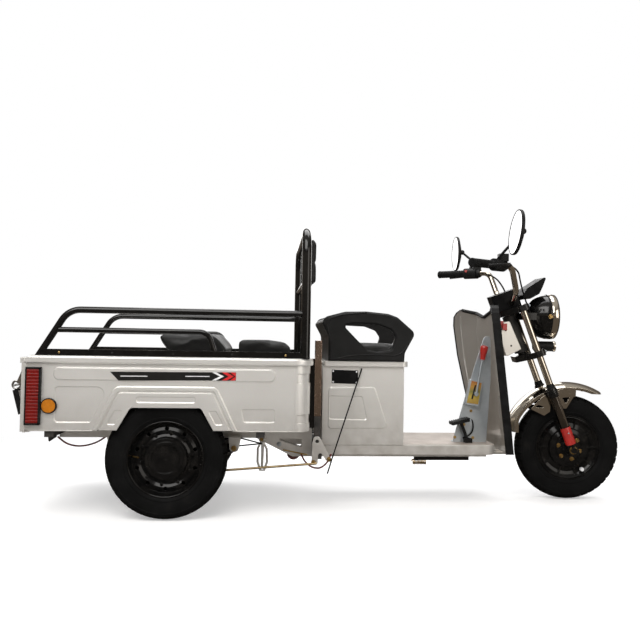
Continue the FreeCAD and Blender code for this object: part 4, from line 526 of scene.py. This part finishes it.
def rounded(path, corner):
    """Open path with each bend drawn as a curve that starts corner metres from its point."""
    points = [path[0]]
    for before, bend, after in zip(path, path[1:], path[2:]):
        reach = min(corner, (before - bend).length * 0.48, (after - bend).length * 0.48)
        start = bend + (before - bend).normalized() * reach
        end = bend + (after - bend).normalized() * reach
        for step in range(BEND_STEPS + 1):
            share = step / BEND_STEPS
            points.append(start * (1 - share) ** 2 + bend * 2 * share * (1 - share) + end * share ** 2)
    points.append(path[-1])
    return points


def flowing(route):
    """Points along the smooth line of a cable that bends freely between the points of its route."""
    curve = bpy.data.curves.new("route", "CURVE")
    curve.dimensions = "3D"
    curve.resolution_u = 10
    spline = curve.splines.new("NURBS")
    spline.points.add(len(route) - 1)
    for point, place in zip(spline.points, route):
        point.co = (*place, 1)
    spline.order_u = 3
    spline.use_endpoint_u = True
    holder = linked("route", curve)
    points = [vertex.co.copy() for vertex in applied(holder).vertices]
    bpy.data.objects.remove(holder)
    return points


def add_piece(name, form, material, body, sharp=38):
    """One named piece on a body, in the slot of its material; edges over sharp degrees stay sharp."""
    mesh = bpy.data.meshes.new(name)
    mesh.from_pydata([tuple(point) for point in form.points], [], form.faces)
    work = bmesh.new()
    work.from_mesh(mesh)
    bmesh.ops.remove_doubles(work, verts=work.verts, dist=WELD)
    bmesh.ops.recalc_face_normals(work, faces=work.faces)
    work.to_mesh(mesh)
    work.free()
    mesh.shade_smooth()
    mesh.set_sharp_from_angle(angle=math.radians(sharp))
    mesh.materials.append(MATERIALS[material])
    made = linked(name, mesh)
    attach(made, body)
    return made


# Places that pieces share, in millimetres
AXLE_Z = 205
TRACK_HALF = 298
FRONT_AXLE_U = 40
TUB_FACE_Y = 350
BOX_FACE_Y = 180
GATE_FACE_Y = 112
SEAT_POSTS = ((-217, 610), (217, 530))


# Half of a tyre's section: radius, distance from the mid-plane, 1 where the cross grooves are cut
TYRE_ROWS = (
    (127.6, 31.0, 0), (132, 34.6, 0), (137, 36.4, 0), (138, 37.7, 0), (141, 37.9, 0), (142, 37.0, 0),
    (150, 38.7, 0), (158, 39.5, 0), (166, 39.8, 0), (174, 39.6, 0), (179, 38.9, 0), (180, 39.5, 0),
    (184, 39.2, 0), (185, 38.0, 0), (190, 36.6, 0), (193, 35.0, 1), (196.4, 30.0, 1), (199.2, 25.0, 1),
    (201.4, 20.0, 1), (203.2, 13.6, 1), (198.8, 12.8, 0), (198.8, 9.6, 0), (204.2, 8.8, 0), (205, 0, 0),
)
TREAD_BLOCKS = 40
GROOVE_DEPTH = 4.5
GROOVE_SHARES = ((0.0, 0), (0.05, 1), (0.24, 1), (0.29, 0))


def dress_tyre(name, centre, axis, body):
    """Tyre with staggered tread blocks that stands for the plain one."""
    form = Form()
    rows = [(radius, -away, cut) for radius, away, cut in TYRE_ROWS]
    rows += [(radius, away, cut) for radius, away, cut in reversed(TYRE_ROWS[:-1])]
    axis, side, up = square_to(axis)
    loops = []
    for block in range(TREAD_BLOCKS):
        for share, deep in GROOVE_SHARES:
            loop = []
            for radius, away, cut in rows:
                stagger = 0.5 if away > 0 else 0.0
                turn = 2 * math.pi * (block + share + (stagger if cut else 0.0)) / TREAD_BLOCKS
                depth = GROOVE_DEPTH if cut and deep else 0.0
                outward = swung(side, up, turn)
                loop.append(centre + outward * ((radius - depth) / 1000) + axis * (away / 1000))
            loops.append(loop)
    form.rings(loops, closed=True)
    tyre = add_piece(name + "_tread", form, "tyre", body, sharp=30)
    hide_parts(name)


def dress_rear_wheels():
    """Tyres, studs, backing of the vents, rim beads with their lips, and valves."""
    for side, sign in (("right", -1), ("left", 1)):
        centre = mm(0, sign * TRACK_HALF, AXLE_Z)
        outward = sideways(sign)
        body = "rear_wheel_" + side
        dress_tyre("rear_" + side + "_tyre", centre, outward, body)
        studs = Form()
        for place in circle(centre + outward * 0.008, outward, 88, 10):
            studs.bolt(place, outward, 5.5, 9)
        add_piece("rear_" + side + "_studs", studs, "black_rim", body)
        back = Form().lathe(centre, outward, [(76, -16), (112, -16), (112, -14), (76, -14)], 48)
        add_piece("rear_" + side + "_vent_back", back, "black_rim", body)
        ring = Form().lathe(centre, outward, [(119.5, 8), (126, 31), (123.5, 32), (117.5, 10)], 64)
        add_piece("rear_" + side + "_rim_bead", ring, "black_rim", body)
        lips = Form()
        lips.tube(circle(centre + outward * 0.0325, outward, 126, 72), 0.0024, 10, closed=True)
        lips.tube(circle(centre + outward * 0.0105, outward, 118.5, 72), 0.0022, 10, closed=True)
        add_piece("rear_" + side + "_rim_lips", lips, "black_paint", body)
        valve = Form()
        foot = centre + Vector((-0.112, 0, 0.006)) + outward * 0.006
        valve.tube([foot, foot + outward * 0.012 + Vector((0.008, 0, 0)),
                    foot + outward * 0.022 + Vector((0.022, 0, 0))], 0.0035)
        add_piece("rear_" + side + "_valve", valve, "brass", body)


def dress_front_wheel():
    """Tyre, hub nuts, valve with its cap, rim rings and axle nuts."""
    centre = fork(FRONT_AXLE_U, 0, 0)
    axis = turned((0, 1, 0))
    dress_tyre("front_tyre", centre, axis, "front_wheel")
    nuts = Form()
    for sign in BOTH:
        face = centre + axis * (sign * 0.0415)
        for place in circle(face, axis, 44, 6):
            nuts.bolt(place, axis * sign, 6, 7)
    add_piece("front_hub_nuts", nuts, "brass", "front_wheel")
    valve = Form()
    foot = centre - axis * 0.020 + turned((0.053, 0, -0.083))
    valve.tube([foot, foot - axis * 0.016], 0.004)
    add_piece("front_valve", valve, "brass", "front_wheel")
    cap = Form().tube([foot - axis * 0.014, foot - axis * 0.024], [0.0082, 0.0074])
    add_piece("front_valve_cap", cap, "white_print", "front_wheel")
    rings = Form()
    for sign in BOTH:
        rings.lathe(centre, axis * sign, [(116, 26), (121.5, 31), (119, 32), (113.5, 27)], 64)
        rings.lathe(centre, axis * sign, [(50, 38), (52, 38), (52, 43.5), (50, 43.5)], 40)
    add_piece("front_rim_rings", rings, "black_rim", "front_wheel")
    axle_nuts = Form()
    for sign in BOTH:
        axle_nuts.bolt(fork(FRONT_AXLE_U, sign * 89.5, 0), axis * sign, 10.5, 10)
    add_piece("front_axle_nuts", axle_nuts, "brass", "steering")


def dress_fork():
    """Black slider sleeves with red covers, plated legs in darker chrome as painted dark reflection,
    collars, wiper seals and clamp bolts.
    """
    sleeves, plated, covers, seals, bolts = forms(5)
    up = STEER_TURN @ STEER_AXIS
    ahead = STEER_TURN @ STEER_LEVEL
    for sign in BOTH:
        low = fork(LEG_U, sign * LEG_Y, 0)
        # The plated legs take the darker chrome: painted dark reflection
        plated.lathe(low, up, [(0, 95), (17.2, 95), (17.2, 216), (0, 216)], 32)
        sleeves.lathe(low, up, [(0, 216), (19.6, 216), (20.2, 222), (20.2, 246), (18, 253.6),
                                (0, 253.6)], 32)
        sleeves.lathe(low, up, [(0, 0), (17.4, 0), (17.4, 21.5), (0, 21.5)], 32)
        covers.lathe(low, up, [(0, 22.5), (19.5, 22.5), (19.9, 25), (19.9, 89), (18.4, 93.5), (0, 93.5)], 32)
        seals.lathe(low, up, [(0, 253.6), (16.5, 253.6), (15.5, 264), (13.6, 270), (0, 270)], 32)
        for number in range(3):
            ridge = 226 + 7 * number
            seals.lathe(low, up, [(19, ridge), (21.2, ridge + 1), (21.2, ridge + 3), (19, ridge + 4)], 32)
        for w in (397, 585):
            for away in (-24, 24):
                bolts.bolt(fork(66, sign * (LEG_Y + away * 0.5), w), ahead, 4.2, 6)
        bolts.bolt(fork(LEG_U, sign * (LEG_Y + 19.9), 70), turned(sideways(sign)), 3, 3, washer=False)
    for name, form, material in (
            ("sleeves", sleeves, "black_paint"), ("plated_legs", plated, "shaded_chrome"),
            ("red_covers", covers, "red_plastic"), ("seals", seals, "black_rubber"),
            ("bolts", bolts, "grey_steel")):
        add_piece("fork_" + name, form, material, "steering")
    nut = Form().bolt(fork(0, 0, CLAMP_TOP_W - 22), up, 16, 10)
    add_piece("stem_nut", nut, "chrome", "steering")


LAMP_MIDDLE = fork(142, 0, 513)


def dress_lamps():
    """Ring, reflector and seam of the headlamp, marker lamp, frames and ribs of the tail lamps."""
    ahead = turned((1, 0, 0))
    for name, material, sides, profile in (
            ("ring", "chrome", 72, [(82, -2), (87.2, -2), (89.6, 4), (89.8, 14), (88.6, 22), (85, 27.5),
                                    (80, 28.5), (78.6, 26), (78.6, 12), (82, 8)]),
            ("reflector", "chrome", 48, [(0, 8.05), (78.4, 8.05), (78.4, 8.25), (0, 8.25)]),
            ("seam", "black_paint", 72, [(86.5, -9), (89.2, -8), (89.2, -4), (86.5, -3)])):
        add_piece("headlamp_" + name, Form().lathe(LAMP_MIDDLE, ahead, profile, sides), material, "steering")
    screws = Form()
    for sign in BOTH:
        screws.bolt(LAMP_MIDDLE + turned((-0.010, sign * 0.0865, 0)), turned(sideways(sign)), 6, 7)
    add_piece("headlamp_screws", screws, "brass", "steering")
    nose = LAMP_MIDDLE + turned((0, 0, -0.118))
    ring = Form().lathe(nose, ahead, [(14, 26), (20.6, 26), (21.4, 30), (20.4, 35), (14, 35)], 36)
    add_piece("marker_ring", ring, "chrome", "steering")
    glass = Form().lathe(nose, ahead, [(0, 30), (14.5, 30), (13, 36), (8, 39), (0, 40)], 32)
    add_piece("marker_lens", glass, "amber_lens", "steering")
    frames, ribs, rims = forms(3)
    for sign in BOTH:
        low, high = sorted((sign * TUB_FACE_Y, sign * 365.5))
        for x0, x1, z0, z1 in ((-451.6, -447, 323, 508), (-408.5, -403, 323, 508),
                               (-451.6, -403, 321, 327), (-451.6, -403, 504, 510)):
            frames.box(mm(x0, low, z0), mm(x1, high, z1))
        rims.lathe(mm(-378, sign * TUB_FACE_Y, 383), sideways(sign), [
            (22.4, 5.6), (24.8, 0.2), (26.0, 0.2), (25.4, 6.6), (24.0, 8.2), (22.4, 7.8)], 48)
        for number in range(16):
            z = 329 + number * 11
            section = ((363.9, 0), (363.9, 7.5), (364.9, 6.2), (364.9, 1.3))
            ribs.prism([mm(-446.6, sign * y, z + rise) for y, rise in section], Vector((0.0378, 0, 0)))
    add_piece("tail_lamp_ribs", ribs, "red_lens", "chassis")
    add_piece("tail_lamp_frames", frames, "black_plastic", "chassis")
    add_piece("reflector_rims", rims, "black_plastic", "chassis")


def side_plate(form, sign, rows, face, thick):
    """Flat plate on a side face: rows of x and z, face and thick in millimetres."""
    form.prism([mm(x, sign * face, z) for x, z in rows], Vector((0, sign * thick / 1000, 0)))


STRIPE_FACE_Y = 354
# Stripe of the tub's sides: finish, thickness, then the outline in rows of x and z
STRIPE_SHAPES = (
    ("black_print", 0.35, ((-184, 497.5), (230, 500), (230, 472), (-156, 468.5))),
    ("white_print", 0.6, ((-150, 484.6), (-62, 485.2), (-62, 482.6), (-150, 482.0))),
    ("white_print", 0.6, ((62, 486.2), (142, 486.8), (142, 484.2), (62, 483.6))),
    ("white_print", 0.6, ((150, 499.4), (164, 499.5), (190, 486), (164, 472.4), (150, 472.3), (176, 486))),
    ("red_print", 0.6, ((182, 499.6), (200, 499.7), (222, 486), (200, 472.6), (182, 472.5), (205, 486))),
    ("red_print", 0.6, ((210, 499.8), (229, 499.8), (229, 472.7), (210, 472.6), (228, 486))),
)


def dress_decals():
    """Plain stripe with fine lines and arrow heads along the raised strip of each side."""
    for name, finish in (("side_stripes", "black_print"), ("side_stripe_lines", "white_print"),
                         ("side_stripe_arrows", "red_print")):
        form = Form()
        for sign in BOTH:
            for used, thick, rows in STRIPE_SHAPES:
                if used == finish:
                    side_plate(form, sign, rows, STRIPE_FACE_Y, thick)
        add_piece(name, form, finish, "chassis")


def dress_box_plate():
    """Bare plate with its rivets on the seat box."""
    plate = Form()
    side_plate(plate, -1, [(568, 506), (664, 504), (664, 455), (568, 457)], BOX_FACE_Y, 1.2)
    add_piece("rating_plate", plate, "dull_black", "chassis")
    rivets = Form()
    for x, z in ((573, 501), (659, 499), (659, 460), (573, 462)):
        rivets.dome(mm(x, -BOX_FACE_Y - 1.2, z), sideways(-1), 3.2, 1.8)
    add_piece("rating_plate_rivets", rivets, "white_print", "chassis")


def dress_controls():
    """Tread plate, labelled shift gate, red knob, ribs on the pedal pad and its cable."""
    low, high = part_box("footboard")
    tread = Form().box(mm(838, low.y * 1000 + 18, 232.6), mm(1180, high.y * 1000 - 18, 234.2))
    add_piece("tread_plate", tread, "step_plate", "chassis")
    label = Form()
    side_plate(label, -1, [(1109, 468), (1148, 459), (1135, 378), (1090, 384)], GATE_FACE_Y, 0.6)
    add_piece("shift_label", label, "label", "chassis")
    slot = Form()
    side_plate(slot, -1, [(1121, 452), (1127, 451), (1114, 398), (1108, 399)], GATE_FACE_Y + 0.6, 0.6)
    add_piece("shift_slot", slot, "black_print", "chassis")
    knob = Form()
    foot = mm(1148, -120, 548)
    axis = Vector((6, 0, 44)).normalized()
    knob.lathe(foot, axis, [(0, 1), (9, 1), (9.6, 6), (11, 20), (14.6, 40), (15, 48), (12.5, 53), (6, 55),
                            (0, 55.3)], 28)
    add_piece("shift_knob", knob, "red_plastic", "chassis")
    ribs = Form()
    start = mm(1028, -146, 313)
    run = mm(1093, -146, 328) - start
    for number in range(9):
        place = start + run * (number / 8)
        ribs.tube([place, place + Vector((0, 0.048, 0))], 0.0022, 8)
    add_piece("pedal_ribs", ribs, "black_rubber", "chassis")
    cable = Form().tube(flowing([mm(1080, -100, 250), mm(1108, -102, 258), mm(1124, -98, 290),
                                 mm(1112, -92, 334), mm(1092, -90, 300)]), 0.0028, 8)
    add_piece("pedal_cable", cable, "black_rubber", "chassis")
    bolts = Form()
    for x, z in ((1050, 252), (1120, 250), (1085, 300), (1128, 396), (1112, 352)):
        bolts.bolt(mm(x, -96, z), sideways(-1), 4, 4)
    add_piece("stand_bolts", bolts, "brass", "chassis")


def dress_underside():
    """Hook, bolts, rubber stop, strip and struts under the rails, and the pedal bar's spring."""
    hook = Form()
    links = ((318, 246), (305, 220), (305, 172), (315, 142), (329, 142), (339, 172), (337, 218), (325, 242))
    hook.tube([mm(x, -178, z) for x, z in links], 0.0042, 12, closed=True)
    hook.tube(circle(mm(319, -178, 258), Vector((0, 1, 0)), 10, 20), 0.0036, 10, closed=True)
    hook.tube([mm(322, -178, 240), mm(322, -178, 196), mm(321, -178, 150)], (0.0058, 0.005, 0.0042), 12)
    add_piece("tow_hook", hook, "silver_paint", "chassis")
    brass = Form()
    out = sideways(-1)
    brass.bolt(mm(318, -176, 252), out, 7, 8)
    for x, z in ((503, 179), (558, 190)):
        brass.bolt(mm(x, -233.5, z), out, 6, 6)
    for sign in BOTH:
        for x in (222, -190):
            brass.bolt(mm(x, sign * 234, 228), sideways(sign), 6.5, 7)
        brass.bolt(mm(-392, sign * 203, 284), sideways(sign), 5, 5)
    add_piece("underside_bolts", brass, "brass", "chassis")
    stop = Form().lathe(mm(434, -152, 201), out, [(0, 0), (23, 0), (24, 3), (24, 10), (19, 14), (0, 15)], 32)
    add_piece("rubber_stop", stop, "brown_rubber", "chassis")
    cap = Form().bolt(mm(381, -170, 234), out, 6, 8)
    add_piece("rail_bolt", cap, "grey_steel", "chassis")
    strip = Form().tube([mm(395, -171.5, 214), mm(484, -171.5, 196)], 0.0022, 8)
    add_piece("rail_strip", strip, "brass", "chassis")
    struts = Form()
    for sign in BOTH:
        for z in (262, 231):
            struts.tube([mm(232, sign * 198, z), mm(318, sign * 186, 238)], 0.0026, 8)
    add_piece("spring_struts", struts, "black_paint", "chassis")
    clamps = Form()
    for sign in BOTH:
        for x in (-34, 34):
            for away in (182, 218):
                clamps.bolt(mm(x, sign * away, 130.5), Vector((0, 0, -1)), 8, 9)
    add_piece("spring_clamp_nuts", clamps, "grey_steel", "chassis")
    steps = [(step, step * math.pi / 8) for step in range(160)]
    spring = Form().tube([mm(872 + step * 0.32, -166 + 9 * math.cos(turn), 171 + 9 * math.sin(turn))
                          for step, turn in steps], 0.0018, 6)
    add_piece("pedal_bar_spring", spring, "brass", "chassis")


def dress_rails():
    """Screws along the base rails, plated sleeves of the seat posts in a painted brown reflection, and black
    blocks just behind the posts.
    """
    screws, rivets = forms(2)
    for sign in BOTH:
        for x in (-351, 395):
            screws.dome(mm(x, sign * 349, 559), sideways(sign), 4, 2.6)
        for x in (-180, 20, 215):
            rivets.dome(mm(x, sign * 349, 559), sideways(sign), 4, 2.6)
    add_piece("rail_screws", screws, "brass", "chassis")
    add_piece("rail_rivets", rivets, "black_paint", "chassis")
    sleeves, gap_blocks = forms(2)
    for y, top in SEAT_POSTS:
        sleeves.box(mm(503, y - 12, 342), mm(527, y + 12, top + 1.2))
        # Black blocks just behind each seat post
        gap_blocks.box(mm(486, y - 8, 300), mm(503.5, y + 4, 546))
    add_piece("post_sleeves", sleeves, "chrome_painted_reflection", "chassis")
    add_piece("post_gap_blocks", gap_blocks, "black_paint", "chassis")


def grip_line(sign):
    """Outer end of a grip and the direction from there along the bar."""
    outer = fork(-144, sign * 340, CLAMP_TOP_W + 219)
    inner = fork(29, sign * 178, CLAMP_TOP_W + 155)
    return outer, (inner - outer).normalized()


def dress_bars():
    """Grip ribs and ends, switches, collars, cables, mirror rims, plugs and screws of the head."""
    ribs, ends, switches, collars = forms(4)
    for sign in BOTH:
        outer, run = grip_line(sign)
        for number in range(14):
            place = outer + run * (0.008 + number * 0.0086)
            ribs.lathe(place, run, [(14, -1.6), (15.6, -1.1), (15.6, 1.1), (14, 1.6)], 24)
        ends.lathe(outer, run, [(0, -1.8), (11, -1.8), (16.2, 0), (16.2, 3), (0, 3)], 24)
        case = outer + run * 0.160
        switches.box(case + Vector((-0.030, -0.008, 0.004)), case + Vector((-0.020, 0.008, 0.014)))
        collars.lathe(outer + run * 0.128, run, [(11, 0), (17.5, 0), (17.5, 5), (11, 5)], 28)
        collars.lathe(outer + run * 0.190, run, [(11, 0), (18, 0), (19, 8), (16, 14), (11, 14)], 28)
    add_piece("grip_ribs", ribs, "black_rubber", "steering")
    add_piece("bar_ends", ends, "black_rubber", "steering")
    add_piece("bar_switches", switches, "red_plastic", "steering")
    add_piece("bar_collars", collars, "black_plastic", "steering")
    cables = Form()
    for sign, ahead in ((-1, 66), (1, 30)):
        outer, run = grip_line(sign)
        route = [outer + run * 0.19 + Vector((0.018, 0, 0.002)),
                 fork(ahead, sign * 120, CLAMP_TOP_W + 140), fork(ahead + 6, sign * 62, CLAMP_TOP_W + 80),
                 fork(ahead + 4, sign * 52, CLAMP_TOP_W + 10), fork(72, sign * 50, 520)]
        cables.tube(flowing(route), 0.0032, 8)
    add_piece("bar_cables", cables, "black_rubber", "steering")
    rims = Form()
    for sign, u, rise, tilt in ((-1, 17.5, 263, 6.6), (1, -24, 284, 0.0)):
        centre = fork(u, sign * 420, CLAMP_TOP_W + rise)
        axis = turned(Matrix.Rotation(math.radians(tilt), 3, "Y") @ Vector((1, 0, 0)))
        rims.lathe(centre, axis, [(73.4, -6.4), (75.3, -7.6), (77.2, -6.2), (77.7, -3), (77.7, 2.5),
                                  (76.2, 4.5), (73.4, 1)], 64)
    add_piece("mirror_rims", rims, "black_plastic", "steering")
    plugs = Form()
    for x, y, top in ((1240, -34, 700), (1252, -42, 690)):
        plugs.box(mm(x, y - 6, top - 26), mm(x + 16, y + 6, top))
    add_piece("head_connectors", plugs, "red_plastic", "chassis")
    screws = Form()
    for w in (455, 520):
        screws.dome(head_cover_spot(w), sideways(-1), 4, 2.4)
    add_piece("head_cover_screws", screws, "black_print", "chassis")


def head_cover_spot(w):
    """Place on the right face of the gusset box, w millimetres up the steering axis."""
    return STEER_BASE + (STEER_LEVEL * -40 + sideways(-30) + STEER_AXIS * w) * 0.001


def dress_latches():
    """Pins, screws and handles of the tailgate's latches."""
    pins = Form()
    for sign in BOTH:
        pins.tube([mm(-496, sign * 292, 448), mm(-496, sign * 324, 448)], 0.0035, 12)
        for y in (316, 300):
            pins.bolt(mm(-470, sign * y, 500), Vector((-1, 0, 0)), 5, 4)
    add_piece("latch_pins", pins, "polished", "tailgate")
    handles = Form()
    for sign in BOTH:
        section = ((-484.5, 350), (-505.5, 430), (-489, 436), (-468.8, 360))
        handles.prism([mm(x, sign * 308 - 12, z) for x, z in section], sideways(0.024))
    add_piece("latch_handles", handles, "black_rubber", "tailgate")


def dress_seat():
    """Moulded ridges on the outer faces of the seat's armrests."""
    ridges = Form()
    for sign in BOTH:
        for rows in (((560, 545), (563, 600), (545, 668), (552, 690), (600, 707), (690, 716)),
                     ((588, 548), (640, 560), (735, 563), (812, 560), (846, 600), (862, 636))):
            path = rounded([mm(x, sign * 199.2, z) for x, z in rows], 0.03)
            ridges.tube(path, 0.0032, 8)
    add_piece("seat_ridges", ridges, "black_plastic", "seat")


def applied(made):
    """Mesh of an object with its modifiers applied."""
    view = bpy.context.evaluated_depsgraph_get()
    view.update()
    return bpy.data.meshes.new_from_object(made.evaluated_get(view))


def reshape(made, kind, **settings):
    """Apply one modifier to a piece."""
    modifier = made.modifiers.new(kind, kind)
    for setting, value in settings.items():
        setattr(modifier, setting, value)
    made.data = applied(made)
    made.modifiers.clear()


CLOTH = {"quality": 5, "mass": 0.3, "tension_stiffness": 15, "compression_stiffness": 15,
         "bending_stiffness": 0.5, "use_pressure": True, "uniform_pressure_force": 4.0}
SWELL_FRAMES = 20
VOXEL = 0.006
SEAM_DEPTH = 0.004


def stuffed(made, low, high, cap):
    """Let cloth swell under pressure, but no point further than cap nor outside the box."""
    rest = [vertex.co.copy() for vertex in made.data.vertices]
    cloth = made.modifiers.new("Cloth", "CLOTH")
    for setting, value in CLOTH.items():
        setattr(cloth.settings, setting, value)
    cloth.settings.effector_weights.gravity = 0.0
    cloth.point_cache.frame_start = 1
    cloth.point_cache.frame_end = SWELL_FRAMES
    for step in range(1, SWELL_FRAMES + 1):
        SCENE.frame_set(step)
    swollen = applied(made)
    made.modifiers.remove(cloth)
    SCENE.frame_set(1)
    for index, vertex in enumerate(made.data.vertices):
        move = swollen.vertices[index].co - rest[index]
        if move.length > cap:
            move *= cap / move.length
        moved = rest[index] + move
        for axis in range(3):
            moved[axis] = min(max(moved[axis], low[axis]), high[axis])
        vertex.co = moved


def sewn(made, seams):
    """Press sewn channels into a cushion: rows of axis, place, width and the axis it faces along."""
    for vertex in made.data.vertices:
        for axis, place, width, facing in seams:
            near = abs(vertex.co[axis] - place) / width
            if near < 1 and vertex.normal[facing] > 0.5:
                vertex.co[facing] -= SEAM_DEPTH * (1 - near) ** 2 * (1 + 2 * near)


def cushion(node, body, cap, shrink, seams):
    """Stuffed piece that stands for one plain cushion solid."""
    low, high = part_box(node)
    middle = (low + high) / 2
    half = (high - low) / 2
    mesh = NODES[node].data.copy()
    made = linked(node + "_stuffed", mesh)
    work = bmesh.new()
    work.from_mesh(mesh)
    bmesh.ops.remove_doubles(work, verts=work.verts, dist=WELD)
    for vertex in work.verts:
        for axis in range(3):
            share = (vertex.co[axis] - middle[axis]) / half[axis]
            vertex.co[axis] = middle[axis] + share * (half[axis] - shrink)
    work.to_mesh(mesh)
    work.free()
    reshape(made, "REMESH", mode="VOXEL", voxel_size=VOXEL)
    reshape(made, "SMOOTH", factor=0.5, iterations=6)
    stuffed(made, low, high, cap)
    reshape(made, "SMOOTH", factor=0.4, iterations=3)
    sewn(made, seams)
    reshape(made, "SUBSURF", levels=1, render_levels=1)
    made.data.materials.clear()
    made.data.materials.append(MATERIALS["black_vinyl"])
    made.data.shade_smooth()
    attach(made, body)
    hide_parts(node)


def dress_cushions():
    """Back cushion of the hoop with a cross seam, and seats with two seams from front to rear."""
    low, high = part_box("back_cushion")
    cushion("back_cushion", "chassis", 0.008, 0.004,
            [(1, -0.1, 0.010, 0), (1, 0.1, 0.010, 0), (2, (low.z + high.z) / 2, 0.010, 0)])
    for node, body, away in (("bench_back", "chassis", 0.08), ("bench_cushion", "chassis", 0.08),
                             ("seat_pad", "seat", 0.06)):
        cushion(node, body, 0.010, 0.005, [(1, -away, 0.012, 2), (1, away, 0.012, 2)])


# What metal and gloss reflect from the studio, from below to above
REFLECTION_BANDS = (
    (0.0, (0.07, 0.05, 0.035)), (0.10, (0.34, 0.29, 0.23)), (0.22, (0.10, 0.08, 0.065)),
    (0.5, (0.15, 0.135, 0.12)), (0.8, (0.44, 0.42, 0.39)),
)
WHITE = (1.0, 1.0, 1.0)
FLOOR_REACH = 30.0
FLOOR_GLOW = 0.36
FADE_FROM = 1.3
FADE_TO = 2.4


def area_light(name, place, aim, size, power, colour=WHITE):
    data = bpy.data.lights.new(name, "AREA")
    data.shape = "RECTANGLE"
    data.size, data.size_y = size
    data.energy = power
    data.color = colour
    lamp = linked(name, data)
    lamp.location = place
    lamp.rotation_euler = (Vector(aim) - Vector(place)).to_track_quat("-Z", "Y").to_euler()


def build_lights():
    area_light("Key", (-1.2, -2.6, 3.0), (0, 0, 0.45), (3.2, 2.4), 120, (1.0, 0.985, 0.96))
    area_light("Fill", (2.2, -2.8, 1.4), (0.2, 0, 0.5), (2.0, 2.0), 26, (1.0, 0.95, 0.88))
    area_light("Top", (0.1, 0.6, 3.4), (0, 0, 0.4), (3.0, 2.0), 70)
    area_light("Back", (0.3, 3.0, 1.8), (0, 0, 0.5), (3.4, 1.6), 40)


def seen_through(graph, path):
    """1 where the camera sees a surface, also through glass."""
    return graph.maths("MAXIMUM", path["Is Camera Ray"], path["Is Transmission Ray"])


def build_world():
    """White to the camera, a dim even studio to the object, warm bands in its reflections."""
    world = bpy.data.worlds.new("Studio")
    SCENE.world = world
    world.use_nodes = True
    graph = Graph(world.node_tree)
    graph.tree.nodes.clear()
    path = graph.node("LightPath").outputs
    where = graph.node("TexCoord").outputs["Generated"]
    height = graph.node("SeparateXYZ", Vector=where).outputs["Z"]
    bands = graph.node("Background", Color=graph.steps(height, REFLECTION_BANDS)).outputs[0]
    studio = graph.light("Background", (0.95, 0.96, 1.0), 0.4)
    white = graph.light("Background", WHITE, 1.0)
    lit = graph.merged(path["Is Glossy Ray"], studio, bands)
    output = graph.node("OutputWorld")
    graph.feed(output, 0, graph.merged(seen_through(graph, path), lit, white))


def build_floor():
    """Pale floor that fades to plain white away from the object and keeps its shadow."""
    corners = [(x * FLOOR_REACH, y * FLOOR_REACH, 0) for x, y in ((-1, -1), (1, -1), (1, 1), (-1, 1))]
    mesh = bpy.data.meshes.new("Floor")
    mesh.from_pydata(corners, [], [(0, 1, 2, 3)])
    floor = linked("Floor", mesh)
    floor.location.z = CAD_BOX[0].z - 0.0005
    material = bpy.data.materials.new("floor")
    material.use_nodes = True
    graph = Graph(material.node_tree)
    graph.tree.nodes.clear()
    path = graph.node("LightPath").outputs
    seen = seen_through(graph, path)
    pale = graph.node("AddShader")
    graph.feed(pale, 0, graph.light("BsdfDiffuse", (0.80, 0.795, 0.79)))
    graph.feed(pale, 1, graph.light("Emission", WHITE, graph.maths("MULTIPLY", seen, FLOOR_GLOW)))
    mirrored = graph.light("Emission", (0.12, 0.10, 0.08))
    near = graph.merged(path["Is Glossy Ray"], pale.outputs[0], mirrored)
    far = graph.light("Emission", WHITE, 1.0)
    away = graph.node("VectorMath")
    away.operation = "LENGTH"
    graph.feed(away, 0, graph.node("TexCoord").outputs["Object"])
    fade = graph.node("MapRange", Value=away.outputs["Value"],
                      From_Min=FADE_FROM, From_Max=FADE_TO)
    fade.interpolation_type = "SMOOTHSTEP"
    share = graph.maths("MULTIPLY", fade.outputs["Result"], seen)
    output = graph.node("OutputMaterial")
    graph.feed(output, 0, graph.merged(share, near, far))
    mesh.materials.append(material)


SCENE.view_settings.view_transform = "Standard"
build_camera()
build_lights()
build_world()
build_floor()
build_materials()
dress_nodes()
dress_rear_wheels()
dress_front_wheel()
dress_fork()
dress_lamps()
dress_decals()
dress_box_plate()
dress_controls()
dress_underside()
dress_rails()
dress_bars()
dress_latches()
dress_seat()
dress_cushions()
